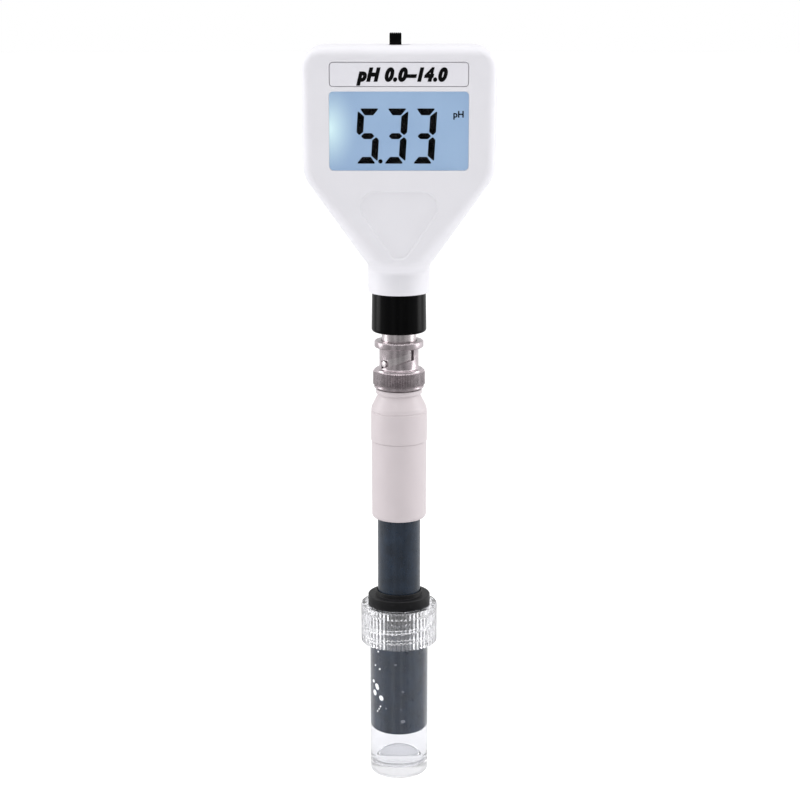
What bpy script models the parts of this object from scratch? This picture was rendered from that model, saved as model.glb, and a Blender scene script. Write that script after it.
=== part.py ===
"""pH meter: a hand-sized display head with a plug-in electrode and its storage bottle.

The tool stands upright on the storage bottle. The origin is the centre of the
bottle's foot, +Z runs up the electrode to the head, and the display faces -Y.
Every dimension below is in millimetres. Meshes are scaled to metres when made.
"""

import math

import bmesh
import bpy
from mathutils import Matrix, Vector

MM = 0.001

# ---- clearances ----
GAP = 0.3            # between faces that touch on the real object
RUN = 0.15           # radial, between round pieces that slide or turn
WALL = 1.9           # moulded wall of the head
OVER = 1.0           # how far a cutting tool reaches past the face it opens

# ---- head, front view ----
HEAD_TOP = 207.0
HEAD_HALF_WIDTH = 26.05
HEAD_HALF_WIDTH_LOW = 25.66
HEAD_SHOULDER_Z = 173.3
NECK_R = 8.5
NECK_TOP_Z = 148.67
NECK_BOTTOM_Z = 140.25
NECK_BORE_R = 6.65
TOP_CORNER_R = 6.0
SHOULDER_R = 10.0
NECK_FILLET_R = 3.5

# ---- head, side view ----
HEAD_HALF_DEPTH = 12.5
TOP_EDGE_R = 3.0
CHIN_Z = 149.3
CHIN_END_Z = 146.4
CHIN_R = 2.5
CHIN_FILLET_R = 1.5
EDGE_R = 2.8         # rounding of the vertical edges
EDGE_BLEND_Z = 156.0  # below here the section turns from a box into a circle
PARTING_HALF = 0.1   # half the seam between front and rear shell
POST_END = 0.3       # the screw posts stop this far short of the mid-plane
SECTION_MIN_R = 1.0  # least corner radius of a section through the head
SECTION_SLACK = 0.04
HEAD_SPACE = (-40.0, 40.0, 120.0, 220.0)  # larger than the head, for halving it
HEAD_SPACE_Y = 40.0

# ---- display ----
WINDOW = (-18.4, 18.4, 174.55, 195.26)
WINDOW_R = 1.1
LABEL = (-18.3, 18.3, 196.5, 202.9)
LABEL_R = 1.0
LABEL_DEPTH = 0.85
LENS_SINK = 0.25
LENS_T = 1.3
LCD = (-19.4, 19.4, 173.6, 196.2)
LCD_FRONT_Y = -10.3
LCD_T = 2.4
FRAME_WALL = 1.0
LABEL_SINK = 0.05
STRIP_MARGIN = 2.4       # elastomer strips stop this far inside the cell's ends
STRIP_EDGE = 0.3
STRIP_HEIGHT = 1.6

# ---- circuit board and what it carries ----
BOARD_FRONT_Y = -5.6
BOARD_T = 1.6
BOARD_BACK_Y = BOARD_FRONT_Y + BOARD_T
MOUNT_Y = BOARD_BACK_Y + GAP
BOARD_OUTLINE = ((-15.3, 162.2), (15.3, 162.2), (22.6, 174.0), (22.6, 197.0), (17.6, 197.0),
                 (17.6, 204.2), (-17.6, 204.2), (-17.6, 197.0), (-22.6, 197.0), (-22.6, 174.0))
CHIP = (-5.0, 5.0, 189.6, 195.6)
CHIP_T = 1.7
CHIP_EDGE = 0.2
FRAME_BACK_Y = BOARD_FRONT_Y - GAP

# ---- grip pad: an inverted triangle pressed into the front ----
GRIP_TOP_Z = 169.0
GRIP_CORNER_X = 13.9
GRIP_TIP_Z = 148.4
GRIP_TOP_R = 4.2
GRIP_TIP_R = 3.2
GRIP_DEPTH = 0.4

# ---- slide switch ----
KNOB_CENTRE_X = -0.93
KNOB_HALF_X = 1.6
KNOB_Y = (-1.7, 0.9)
KNOB_TOP_Z = 210.2
KNOB_FOOT_Z = 201.4
KNOB_TRAVEL = 2.0
KNOB_EDGE = 0.3
SWITCH_BODY = (-4.5, 4.6, 198.8, 204.6)
SWITCH_BACK_Y = 1.7

# ---- case screws: (x, z) of each ----
SCREWS = ((-21.0, 200.4), (21.0, 200.4), (-9.6, 158.8), (9.6, 158.8))
FRONT_POST_R = 2.4
REAR_POST_R = 3.2
SCREW_HEAD_R = 2.1
SCREW_SHANK_R = 1.0
SCREW_HEAD_Y = (10.3, 11.9)
SCREW_TIP_Y = -7.0
SCREW_POINT = 1.2
SCREW_EDGE = 0.6
RECESS_HALF = (1.3, 0.25)
RECESS_DEPTH = 0.9

# ---- calibration trimmers ----
TRIMMERS = (("trimmer_ph7", -6.0, 166.0), ("trimmer_slope", 6.0, 166.0))
TRIMMER_HALF = 3.3
TRIMMER_BACK_Y = 1.3
ADJUSTER_R = 1.5
ADJUSTER_Y = (-0.7, 11.6)
ADJUSTER_SLOT = 0.5
ADJUSTER_SLOT_DEPTH = 0.7
ADJUSTER_EDGE = 0.2
ADJUSTER_HOLE_R = 2.0

# ---- battery bay ----
DOOR = (-13.2, 13.2, 171.6, 189.4)
DOOR_T = 1.6
PINTLE_R = 0.4
PINTLE_LENGTH = 0.7
PINTLE_ROOT = 0.5        # length sunk into the door
TONGUE_HALF_X = 3.0
TONGUE_DROP = (1.4, 0.6)  # below the door's top edge
TONGUE_Y = 9.2
HOLDER = (-12.6, 12.6, 173.6, 187.4)
HOLDER_WALL = 0.9
HOLDER_BACK_Y = 8.0
HOLDER_FLOOR = 0.6
CELL_EDGE = 0.2
CELL_RIM = 0.5           # the negative face stands inside this rim
CONTACT_HALF_Z = 4.5
CONTACT_INSET = (0.9, 0.6)
SPRING_GAP = (0.6, 0.7)
SPRING_R = (2.4, 4.6)
SPRING_WIRE_R = 0.35
CELL_R = 5.8
CELL_T = 5.4
CELL_COUNT = 3
CELL_FIRST_X = 10.6
CELL_PITCH = 5.5
CELL_Y = 2.9
CELL_Z = 180.5

# ---- black neck sleeve and bayonet jack ----
SLEEVE_BOTTOM_Z = 129.25
SLEEVE_SPIGOT_R = 6.4
SLEEVE_TOP_Z = 146.0
SLEEVE_R = (7.57, 7.43)  # at the bottom and at the shoulder
SLEEVE_EDGE = 0.7
JACK_BARREL_R = 4.8
JACK_BORE_R = 4.1
JACK_THREAD_R = 5.05
JACK_BOTTOM_Z = 116.6
JACK_TOP_Z = 149.6
PIN_R = 0.95
PIN_TIP_R = 5.42
PIN_ROOT = 0.4
JACK_HOLE_R = 2.75
JACK_WEB = 1.8           # solid floor above the plug's end
JACK_STEP = 0.4
JACK_NUT_R = 6.3
JACK_NUT_T = 2.3
INSULATOR_BORE_R = 1.05
INSULATOR_BOTTOM_Z = 121.6
CONTACT_R = (0.9, 0.55)
CONTACT_Z = (121.9, 126.4, 151.4)
WIRE_R = 0.45

# ---- coupling nut ----
NUT_BOTTOM_Z = 113.45
NUT_TOP_Z = 126.74
NUT_FLANGE_R = 6.8
NUT_FLANGE_Z = 124.94
NUT_WAIST_R = 5.43
NUT_GRIP_R = 7.22
NUT_GRIP_Z = (114.45, 118.35)
NUT_RING_R = 6.9         # plain ring under the knurled grip
NUT_STEP_R = 6.65        # step between the grip and the waist
NUT_STEP_Z = 118.85
NUT_BORE_R = JACK_BARREL_R + RUN
NUT_COLLAR_R = 3.6
NUT_COLLAR_Z = 114.25
SLOT_HALF = 1.1
SLOT_START_DEG = -141.5   # where the pins rest when locked
SLOT_SWEEP_DEG = 89.5
SLOT_START_Z = 120.5
SLOT_RISE = 2.3
SLOT_MARGIN = 0.3         # the slot tools reach this far past the nut's wall
SLOT_END = 1.2            # how far a slot runs past its last pin place, in pin widths

# ---- plug ----
PLUG_NECK_R = 3.4
PLUG_CONTACT_R = 3.95
PLUG_BORE_R = 3.1
PLUG_FLANGE_Z = (114.75, 115.65)
PLUG_TOP_Z = 126.0
PLUG_FOOT_Z = 109.4
PLUG_FLANGE_R = 4.75
PLUG_WIRE_HOLE_R = 1.2
PLUG_WELL_Z = 116.4
PLUG_EDGE = (0.25, 0.4)
PLUG_SLIT_HALF = 0.25
PLUG_SLIT_Z = 119.0
PLUG_INSULATOR_Z = (116.7, 121.0)
PLUG_INSULATOR_BORE_R = 0.75
PLUG_PIN_R = (0.6, 0.42)
PLUG_PIN_Z = (109.0, 121.4, 121.6, 125.4, 125.8)
WASHER_R = (3.75, 4.7)
WASHER_Z = (114.4, 114.6)
GASKET_Z = (115.8, 116.4)

# ---- electrode ----
CAP_TOP_Z = NUT_BOTTOM_Z - GAP
CAP_R = 7.83
CAP_BOTTOM_Z = 98.35
HANDLE_R = 7.63
HANDLE_BOTTOM_Z = 76.1
TUBE_R = 6.0
TUBE_BORE_R = 5.0
TUBE_TOP_Z = 108.0
TUBE_BOTTOM_Z = 25.9
GUARD_BOTTOM_Z = 13.0
GUARD_FOOT_BORE_R = 4.6
GUARD_SPIGOT_R = TUBE_BORE_R - RUN
GUARD_SPIGOT_TOP_Z = 30.0
GUARD_SPIGOT_BORE_R = 4.0
GUARD_STEP_Z = (24.4, 25.0)
STEM_R = 2.0
BULB_R = 3.3
BULB_Z = 20.4
BULB_WALL = 0.4
STEM_WALL = 0.5
STEM_TOP_Z = 104.0
CAP_SHOULDER = (5.03, 106.9, 2.8)  # centre radius, centre height and radius of its arc
CAP_WAIST = ((5.98, 111.45), (6.0, 111.7))
CAP_COLLAR_R = 6.4
CAP_COLLAR_Z = 111.85
HANDLE_EDGE_R = 1.3
JUNCTION_Z = 33.0
JUNCTION_R = 0.9
JUNCTION_Y = (5.05, 5.9)
STEM_SEAL_Z = (35.0, 40.0)
SILVER_R = 0.3
SILVER_TOP_Z = 106.0
INNER_WIRE_Z = 20.6
REFERENCE_WIRE_Z = 42.0
REFERENCE_WIRE_X = 3.5

# ---- storage bottle ----
SEAL_R = 8.75
SEAL_TOP_Z = 53.5
SEAL_LIP_R = 6.6         # raised lip that wipes the tube
SEAL_LIP_Z = 54.7
SEAL_FLANGE_R = 8.0      # lower flange, clamped on the bottle's rim
SEAL_FLANGE_Z = 46.5
SEAL_WAIST_R = 6.85
SEAL_BORE_R = TUBE_R + RUN
BOTTLE_CAP_R = 10.8
BOTTLE_CAP_Z = (39.5, 50.8)
CAP_ROOF_Z = (48.3, 49.8)  # the wall across the cap's top, round the seal
CAP_HOLE_R = 7.05
CAP_WELL_R = 9.1
BOTTLE_CAP_BORE_R = 9.25
BOTTLE_R = 8.25
BOTTLE_BORE_R = 7.05
BOTTLE_RIM_Z = 46.2
BOTTLE_FOOT_R = 1.35
BOTTLE_FLOOR_Z = 2.9
FLOOR_EDGE_R = (6.3, 5.2)
DOME_R = 4.9             # the floor rises to a dome in the middle
DOME_TOP_Z = 8.6
THREAD_START_Z = 41.0
THREAD_PITCH = 3.0
THREAD_TURNS = 1.5
THREAD_HEIGHT = 0.8

ROUND = 32           # facets of the large round pieces
SMALL_ROUND = 16     # facets of the small round pieces

LOOKS = {
    "white_shell": ((0.75, 0.74, 0.77), 0.45, 0.0),
    "label_film": ((0.72, 0.72, 0.75), 0.4, 0.0),
    "clear_lens": ((0.8, 0.85, 0.9), 0.05, 0.0),
    "lcd_glass": ((0.33, 0.47, 0.68), 0.15, 0.0),
    "black_plastic": ((0.02, 0.02, 0.02), 0.4, 0.0),
    "diffuser": ((0.6, 0.75, 0.9), 0.4, 0.0),
    "elastomer": ((0.12, 0.12, 0.13), 0.8, 0.0),
    "board_green": ((0.03, 0.2, 0.08), 0.4, 0.0),
    "nickel": ((0.6, 0.56, 0.57), 0.25, 1.0),
    "trimmer_blue": ((0.04, 0.12, 0.45), 0.4, 0.0),
    "brass": ((0.7, 0.5, 0.2), 0.3, 1.0),
    "steel": ((0.5, 0.5, 0.52), 0.35, 1.0),
    "ptfe": ((0.85, 0.85, 0.82), 0.5, 0.0),
    "cap_white": ((0.68, 0.62, 0.62), 0.5, 0.0),
    "electrode_body": ((0.02, 0.03, 0.045), 0.35, 0.0),
    "electrode_glass": ((0.8, 0.9, 0.9), 0.05, 0.0),
    "ceramic": ((0.85, 0.83, 0.78), 0.7, 0.0),
    "silver": ((0.75, 0.74, 0.72), 0.3, 1.0),
    "black_rubber": ((0.01, 0.01, 0.012), 0.7, 0.0),
    "clear_plastic": ((0.85, 0.87, 0.88), 0.08, 0.0),
    "wire_red": ((0.5, 0.03, 0.02), 0.5, 0.0),
    "wire_black": ((0.02, 0.02, 0.02), 0.5, 0.0),
}


# ======================= scene and object helpers =======================

def clear_scene():
    for item in list(bpy.data.objects):
        bpy.data.objects.remove(item, do_unlink=True)


def look(name):
    """The Principled material called name, made the first time it is asked for."""
    existing = bpy.data.materials.get(name)
    if existing:
        return existing
    color, roughness, metallic = LOOKS[name]
    made = bpy.data.materials.new(name)
    made.use_nodes = True
    shader = made.node_tree.nodes["Principled BSDF"]
    shader.inputs["Base Color"].default_value = (*color, 1.0)
    shader.inputs["Roughness"].default_value = roughness
    shader.inputs["Metallic"].default_value = metallic
    return made


def add_object(name, bm, look_name, origin=(0.0, 0.0, 0.0)):
    """An object in metres from millimetre geometry, its own origin at `origin`."""
    bmesh.ops.recalc_face_normals(bm, faces=bm.faces)
    bmesh.ops.translate(bm, verts=bm.verts, vec=-Vector(origin))
    bmesh.ops.scale(bm, verts=bm.verts, vec=(MM, MM, MM))
    mesh = bpy.data.meshes.new(name)
    bm.to_mesh(mesh)
    bm.free()
    mesh.shade_smooth()
    mesh.set_sharp_from_angle(angle=math.radians(32))
    mesh.materials.append(look(look_name))
    made = bpy.data.objects.new(name, mesh)
    made.location = Vector(origin) * MM
    bpy.context.collection.objects.link(made)
    return made


def add_tool(name, *meshes):
    """A hidden cutter or filler made of one or more separate closed bodies."""
    joined = bmesh.new()
    for bm in meshes:
        scratch = bpy.data.meshes.new(name + "_body")
        bmesh.ops.recalc_face_normals(bm, faces=bm.faces)
        bm.to_mesh(scratch)
        bm.free()
        joined.from_mesh(scratch)
        bpy.data.meshes.remove(scratch)
    bmesh.ops.scale(joined, verts=joined.verts, vec=(MM, MM, MM))
    mesh = bpy.data.meshes.new(name)
    joined.to_mesh(mesh)
    joined.free()
    made = bpy.data.objects.new(name, mesh)
    bpy.context.collection.objects.link(made)
    made.hide_render = True
    made.display_type = "WIRE"
    return made


def combine(target, tool, operation):
    step = target.modifiers.new(tool.name, "BOOLEAN")
    step.operation = operation
    step.object = tool


def cut(target, tool):
    combine(target, tool, "DIFFERENCE")


def fuse(target, tool):
    combine(target, tool, "UNION")


# ======================= shape helpers =======================

def aim(bm, axis, centre):
    """Turns geometry built along Z so that it runs along axis, and moves it to centre."""
    turns = {
        "Z": Matrix.Identity(3),
        "Y": Matrix.Rotation(-math.pi / 2, 3, "X"),
        "X": Matrix.Rotation(math.pi / 2, 3, "Y"),
    }
    bmesh.ops.rotate(bm, verts=bm.verts, matrix=turns[axis])
    bmesh.ops.translate(bm, verts=bm.verts, vec=Vector(centre))
    return bm


def turned(profile, segments=ROUND, axis="Z", centre=(0.0, 0.0, 0.0)):
    """A solid of revolution from (radius, height) points.

    A profile that starts and ends on the axis is solid through the middle,
    and any other profile is a closed loop round a bore. A flat end is one face.
    """
    bm = bmesh.new()
    rings = []
    for radius, height in profile:
        if radius == 0:
            rings.append([bm.verts.new((0.0, 0.0, height))])
            continue
        angles = [2 * math.pi * i / segments for i in range(segments)]
        rings.append([bm.verts.new((radius * math.cos(a), radius * math.sin(a), height))
                      for a in angles])
    pairs = list(zip(rings, rings[1:]))
    if len(rings[0]) > 1:
        pairs.append((rings[-1], rings[0]))
    for lower, upper in pairs:
        flat = abs(lower[0].co.z - upper[0].co.z) < 1e-6
        if flat and 1 in (len(lower), len(upper)):
            bm.faces.new(max(lower, upper, key=len))
            continue
        for i in range(segments):
            j = (i + 1) % segments
            corners = [lower[i % len(lower)], lower[j % len(lower)],
                       upper[j % len(upper)], upper[i % len(upper)]]
            bm.faces.new(list(dict.fromkeys(corners)))
    loose = [v for v in bm.verts if not v.link_faces]
    bmesh.ops.delete(bm, geom=loose, context="VERTS")
    return aim(bm, axis, centre)


def rod(radius, start, end, segments=SMALL_ROUND, axis="Z", centre=(0.0, 0.0, 0.0)):
    return turned([(0, start), (radius, start), (radius, end), (0, end)],
                  segments, axis, centre)


def tube(inner, outer, start, end, segments=ROUND, axis="Z", centre=(0.0, 0.0, 0.0)):
    return turned([(inner, start), (outer, start), (outer, end), (inner, end)],
                  segments, axis, centre)


def arc(centre_r, centre_z, radius, start_deg, end_deg, steps):
    """Points (radius, height) on an arc, from start to end."""
    points = []
    for i in range(steps + 1):
        a = math.radians(start_deg + (end_deg - start_deg) * i / steps)
        points.append((centre_r + radius * math.cos(a), centre_z + radius * math.sin(a)))
    return points


def rounded(points, radii, steps, closed=True):
    """A polygon with its corners rounded. An open one keeps its two end points."""
    count = len(points)
    result = []
    for i, (point, radius) in enumerate(zip(points, radii)):
        here = Vector(point)
        if radius == 0 or (not closed and i in (0, count - 1)):
            result.append(tuple(here))
            continue
        back = (Vector(points[i - 1]) - here).normalized()
        ahead = (Vector(points[(i + 1) % count]) - here).normalized()
        half = back.angle(ahead) / 2
        reach = radius / math.tan(half)
        middle = here + (back + ahead).normalized() * (radius / math.sin(half))
        first = here + back * reach - middle
        swing = first.angle_signed(here + ahead * reach - middle)
        for k in range(steps + 1):
            turn = Matrix.Rotation(-swing * k / steps, 2)
            result.append(tuple(middle + turn @ first))
    return result


def inset(points, distance):
    """An open outline moved inwards, towards the axis and down from the top."""
    lines = []
    for a, b in zip(points, points[1:]):
        start, end = Vector(a), Vector(b)
        along = (end - start).normalized()
        inward = Vector((along.y, -along.x))
        lines.append((start + inward * distance, along))
    moved = [tuple(lines[0][0])]
    for (p, d), (q, e) in zip(lines, lines[1:]):
        cross = d.x * e.y - d.y * e.x
        reach = ((q - p).x * e.y - (q - p).y * e.x) / cross
        moved.append(tuple(p + d * reach))
    last_point, last_along = lines[-1]
    length = (Vector(points[-1]) - Vector(points[-2])).length
    moved.append(tuple(last_point + last_along * length))
    return moved


def rectangle(bounds, margin=0.0):
    x0, x1, z0, z1 = bounds
    return [(x0 - margin, z0 - margin), (x1 + margin, z0 - margin),
            (x1 + margin, z1 + margin), (x0 - margin, z1 + margin)]


def rounded_rectangle(bounds, radius, margin=0.0, steps=4):
    return rounded(rectangle(bounds, margin), [radius] * 4, steps)


def prism(outline, y0, y1):
    """An (x, z) outline extruded along Y."""
    bm = bmesh.new()
    face = bm.faces.new([bm.verts.new((x, y0, z)) for x, z in outline])
    grown = bmesh.ops.extrude_face_region(bm, geom=[face])
    moved = [v for v in grown["geom"] if isinstance(v, bmesh.types.BMVert)]
    bmesh.ops.translate(bm, verts=moved, vec=(0.0, y1 - y0, 0.0))
    return bm


def block(bounds, y0, y1, bevel=0.0):
    """A box from (x0, x1, z0, z1) and two depths, with optional rounded edges."""
    bm = prism(rectangle(bounds), y0, y1)
    if bevel:
        bmesh.ops.bevel(bm, geom=list(bm.edges), offset=bevel, segments=2,
                        profile=0.5, affect="EDGES")
    return bm


def sweep(points, radius, sides=8):
    """A round bar along a path of points."""
    bm = bmesh.new()
    path = [Vector(p) for p in points]
    side = None
    rings = []
    for i, point in enumerate(path):
        ahead = (path[min(i + 1, len(path) - 1)] - path[max(i - 1, 0)]).normalized()
        if side is None:
            side = ahead.orthogonal().normalized()
        side = (side - ahead * side.dot(ahead)).normalized()
        other = ahead.cross(side)
        ring = []
        for k in range(sides):
            a = 2 * math.pi * k / sides
            ring.append(bm.verts.new(point + (side * math.cos(a) + other * math.sin(a)) * radius))
        rings.append(ring)
    for low, high in zip(rings, rings[1:]):
        for k in range(sides):
            bm.faces.new([low[k], low[(k + 1) % sides], high[(k + 1) % sides], high[k]])
    bm.faces.new(rings[0])
    bm.faces.new(rings[-1])
    return bm


def helical_bar(section, start_deg, sweep_deg, start_z, rise, steps):
    """A bar whose (radius, height) section climbs steadily round the Z axis."""
    bm = bmesh.new()
    rings = []
    for i in range(steps + 1):
        part = i / steps
        a = math.radians(start_deg + sweep_deg * part)
        z = start_z + rise * part
        rings.append([bm.verts.new((r * math.cos(a), r * math.sin(a), z + h))
                      for r, h in section])
    count = len(section)
    for low, high in zip(rings, rings[1:]):
        for k in range(count):
            bm.faces.new([low[k], low[(k + 1) % count], high[(k + 1) % count], high[k]])
    bm.faces.new(rings[0])
    bm.faces.new(rings[-1])
    return bm


def smooth_path(points, per_span=5):
    """Points on a Catmull-Rom curve through the given points."""
    knots = [Vector(p) for p in points]
    knots = [2 * knots[0] - knots[1]] + knots + [2 * knots[-1] - knots[-2]]
    path = []
    for a, b, c, d in zip(knots, knots[1:], knots[2:], knots[3:]):
        for i in range(per_span):
            t = i / per_span
            path.append(0.5 * (2 * b + (c - a) * t + (2 * a - 5 * b + 4 * c - d) * t ** 2
                               + (3 * b - a - 3 * c + d) * t ** 3))
    path.append(knots[-2])
    return path


# ======================= head shells =======================

def value_at(outline, z):
    """Half-width of an outline at height z, its points running from top to bottom."""
    for (w0, z0), (w1, z1) in zip(outline, outline[1:]):
        if z1 <= z <= z0 and z0 > z1:
            return w0 + (w1 - w0) * (z0 - z) / (z0 - z1)
    return outline[-1][0]


def head_sections(thickness_removed):
    """Stations (z, half-width, half-depth, corner radius) from top to bottom."""
    front = [(0, HEAD_TOP), (HEAD_HALF_WIDTH, HEAD_TOP), (HEAD_HALF_WIDTH_LOW, HEAD_SHOULDER_Z),
             (NECK_R, NECK_TOP_Z), (NECK_R, NECK_BOTTOM_Z)]
    side = [(0, HEAD_TOP), (HEAD_HALF_DEPTH, HEAD_TOP), (HEAD_HALF_DEPTH, CHIN_Z),
            (NECK_R, CHIN_END_Z), (NECK_R, NECK_BOTTOM_Z)]
    removed = thickness_removed
    front_radii = [0, TOP_CORNER_R - removed, SHOULDER_R - removed, NECK_FILLET_R + removed, 0]
    side_radii = [0, TOP_EDGE_R - removed, CHIN_R - removed, CHIN_FILLET_R + removed, 0]
    if removed:
        front = inset(front, removed)
        side = inset(side, removed)
    front = rounded(front, front_radii, 4, closed=False)[1:]
    side = rounded(side, side_radii, 3, closed=False)[1:]
    heights = {round(z, 4) for _, z in front + side}
    stations = []
    for z in sorted(heights, reverse=True):
        width, depth = value_at(front, z), value_at(side, z)
        stations.append((z, width, depth, corner_radius(z, width, depth, removed)))
    return stations


def corner_radius(z, width, depth, removed):
    """Corner rounding of a section: constant on the body, a full circle at the neck."""
    base = max(EDGE_R - removed, SECTION_MIN_R)
    share = min(max((EDGE_BLEND_Z - z) / (EDGE_BLEND_Z - CHIN_END_Z), 0.0), 1.0)
    share = share * share * (3 - 2 * share)
    full = min(width, depth) - SECTION_SLACK
    return min(base + (NECK_R - removed - base) * share, full)


def loft(stations, steps=4):
    """A closed skin through rounded-rectangle sections."""
    bm = bmesh.new()
    rings = []
    for z, width, depth, radius in stations:
        bounds = (-width, width, -depth, depth)
        points = rounded_rectangle(bounds, radius, steps=steps)
        rings.append([bm.verts.new((x, y, z)) for x, y in points])
    for high, low in zip(rings, rings[1:]):
        count = len(high)
        for k in range(count):
            bm.faces.new([high[k], high[(k + 1) % count], low[(k + 1) % count], low[k]])
    bm.faces.new(rings[0])
    bm.faces.new(rings[-1])
    return bm


def grip_outline():
    corners = [(-GRIP_CORNER_X, GRIP_TOP_Z), (GRIP_CORNER_X, GRIP_TOP_Z), (0.0, GRIP_TIP_Z)]
    return rounded(corners, [GRIP_TOP_R, GRIP_TOP_R, GRIP_TIP_R], 5)


def posts(radius, y0, y1):
    return [rod(radius, y0, y1, axis="Y", centre=(x, 0.0, z)) for x, z in SCREWS]


def make_shells():
    """Front and rear shell, split on the mid-plane, with the openings cut."""
    stations = head_sections(0.0)
    hollow = head_sections(WALL)
    z, width, depth, radius = hollow[-1]
    hollow.append((z - 3 * OVER, width, depth, radius))
    cavity = add_tool("cavity_tool", loft(hollow, 2))
    bore = add_tool("neck_bore_tool", rod(NECK_BORE_R, NECK_BOTTOM_Z - OVER, NECK_TOP_Z, ROUND))
    knob = (KNOB_CENTRE_X - KNOB_HALF_X, KNOB_CENTRE_X + KNOB_HALF_X + KNOB_TRAVEL,
            HEAD_TOP - 2 * WALL, HEAD_TOP + WALL)
    knob_slot = add_tool("knob_slot_tool", prism(rectangle(knob, GAP),
                                                 KNOB_Y[0] - GAP, KNOB_Y[1] + GAP))

    front = add_object("front_shell", loft(stations), "white_shell")
    cut(front, add_tool("rear_half_tool", prism(rectangle(HEAD_SPACE), -PARTING_HALF,
                                                 HEAD_SPACE_Y)))
    cut(front, cavity)
    cut(front, bore)
    fuse(front, add_tool("front_posts_tool",
                         *posts(FRONT_POST_R, -HEAD_HALF_DEPTH + OVER, -POST_END)))
    cut(front, add_tool("pilot_tool", *posts(SCREW_SHANK_R + RUN, SCREW_TIP_Y - OVER, OVER)))
    face = -HEAD_HALF_DEPTH
    cut(front, add_tool("window_tool", prism(rounded_rectangle(WINDOW, WINDOW_R),
                                             face - OVER, face + 2 * WALL)))
    cut(front, add_tool("label_tool", prism(rounded_rectangle(LABEL, LABEL_R),
                                            face - OVER, face + LABEL_DEPTH)))
    cut(front, add_tool("grip_tool", prism(grip_outline(), face - OVER, face + GRIP_DEPTH)))
    cut(front, knob_slot)

    rear = add_object("rear_shell", loft(stations), "white_shell")
    cut(rear, add_tool("front_half_tool", prism(rectangle(HEAD_SPACE), -HEAD_SPACE_Y,
                                                 PARTING_HALF)))
    cut(rear, cavity)
    cut(rear, bore)
    back = HEAD_HALF_DEPTH
    fuse(rear, add_tool("rear_posts_tool", *posts(REAR_POST_R, POST_END, back - OVER)))
    cut(rear, add_tool("shank_tool", *posts(SCREW_SHANK_R + GAP, -OVER, back - OVER)))
    cut(rear, add_tool("counterbore_tool",
                       *posts(SCREW_HEAD_R + GAP, SCREW_HEAD_Y[0] - GAP, back + OVER)))
    adjuster_holes = [rod(ADJUSTER_HOLE_R, back - 2 * WALL, back + OVER, axis="Y",
                          centre=(x, 0.0, z)) for _, x, z in TRIMMERS]
    cut(rear, add_tool("adjuster_hole_tool", *adjuster_holes))
    cut(rear, add_tool("door_tool", prism(rectangle(DOOR, GAP), back - 2 * WALL, back + OVER)))
    hinge_y, hinge_z = hinge_line()
    socket = PINTLE_LENGTH + GAP + DOOR[1]
    cut(rear, add_tool("socket_tool", rod(PINTLE_R + RUN, -socket, socket, 12, "X",
                                          (0.0, hinge_y, hinge_z))))
    cut(rear, knob_slot)


# ======================= display =======================

def make_display():
    face = -HEAD_HALF_DEPTH
    add_object("label_plate", prism(rounded_rectangle(LABEL, LABEL_R - GAP, -GAP),
                                    face + LABEL_SINK, face + LABEL_DEPTH - GAP), "label_film")
    lens_front = face + LENS_SINK
    add_object("display_window", prism(rounded_rectangle(WINDOW, WINDOW_R - GAP, -GAP),
                                       lens_front, lens_front + LENS_T), "clear_lens")
    lcd_back = LCD_FRONT_Y + LCD_T
    add_object("lcd_glass", block(LCD, LCD_FRONT_Y, lcd_back), "lcd_glass")
    frame = add_object("lcd_frame", prism(rectangle(LCD, GAP + FRAME_WALL),
                                          LCD_FRONT_Y, FRAME_BACK_Y), "black_plastic")
    cut(frame, add_tool("frame_tool", prism(rectangle(LCD, GAP), LCD_FRONT_Y - OVER,
                                            FRAME_BACK_Y + OVER)))
    x0, x1, z0, z1 = LCD
    strip_front = lcd_back + GAP
    inner = (x0 + STRIP_MARGIN, x1 - STRIP_MARGIN)
    for name, low in (("zebra_strip_lower", z0 + STRIP_EDGE),
                      ("zebra_strip_upper", z1 - STRIP_EDGE - STRIP_HEIGHT)):
        add_object(name, block((*inner, low, low + STRIP_HEIGHT), strip_front, FRAME_BACK_Y),
                   "elastomer")
    panel = (*inner, z0 + STRIP_MARGIN, z1 - STRIP_MARGIN)
    add_object("backlight_panel", block(panel, strip_front, FRAME_BACK_Y), "diffuser")


# ======================= circuit board, switch, trimmers =======================

def make_board():
    add_object("circuit_board", prism(BOARD_OUTLINE, BOARD_FRONT_Y, BOARD_BACK_Y), "board_green")
    add_object("converter_chip", block(CHIP, MOUNT_Y, MOUNT_Y + CHIP_T, CHIP_EDGE),
               "black_plastic")


def make_switch():
    housing = add_object("switch_housing", block(SWITCH_BODY, MOUNT_Y, SWITCH_BACK_Y), "steel")
    knob = (KNOB_CENTRE_X - KNOB_HALF_X, KNOB_CENTRE_X + KNOB_HALF_X, KNOB_FOOT_Z, KNOB_TOP_Z)
    x0, x1, z0, z1 = knob
    room = (x0, x1 + KNOB_TRAVEL, z0, z1)
    cut(housing, add_tool("switch_tool", prism(rectangle(room, GAP),
                                               KNOB_Y[0] - GAP, KNOB_Y[1] + GAP)))
    middle = (KNOB_CENTRE_X, sum(KNOB_Y) / 2, HEAD_TOP)
    add_object("switch_knob", block(knob, *KNOB_Y, KNOB_EDGE), "black_plastic", middle)


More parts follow.
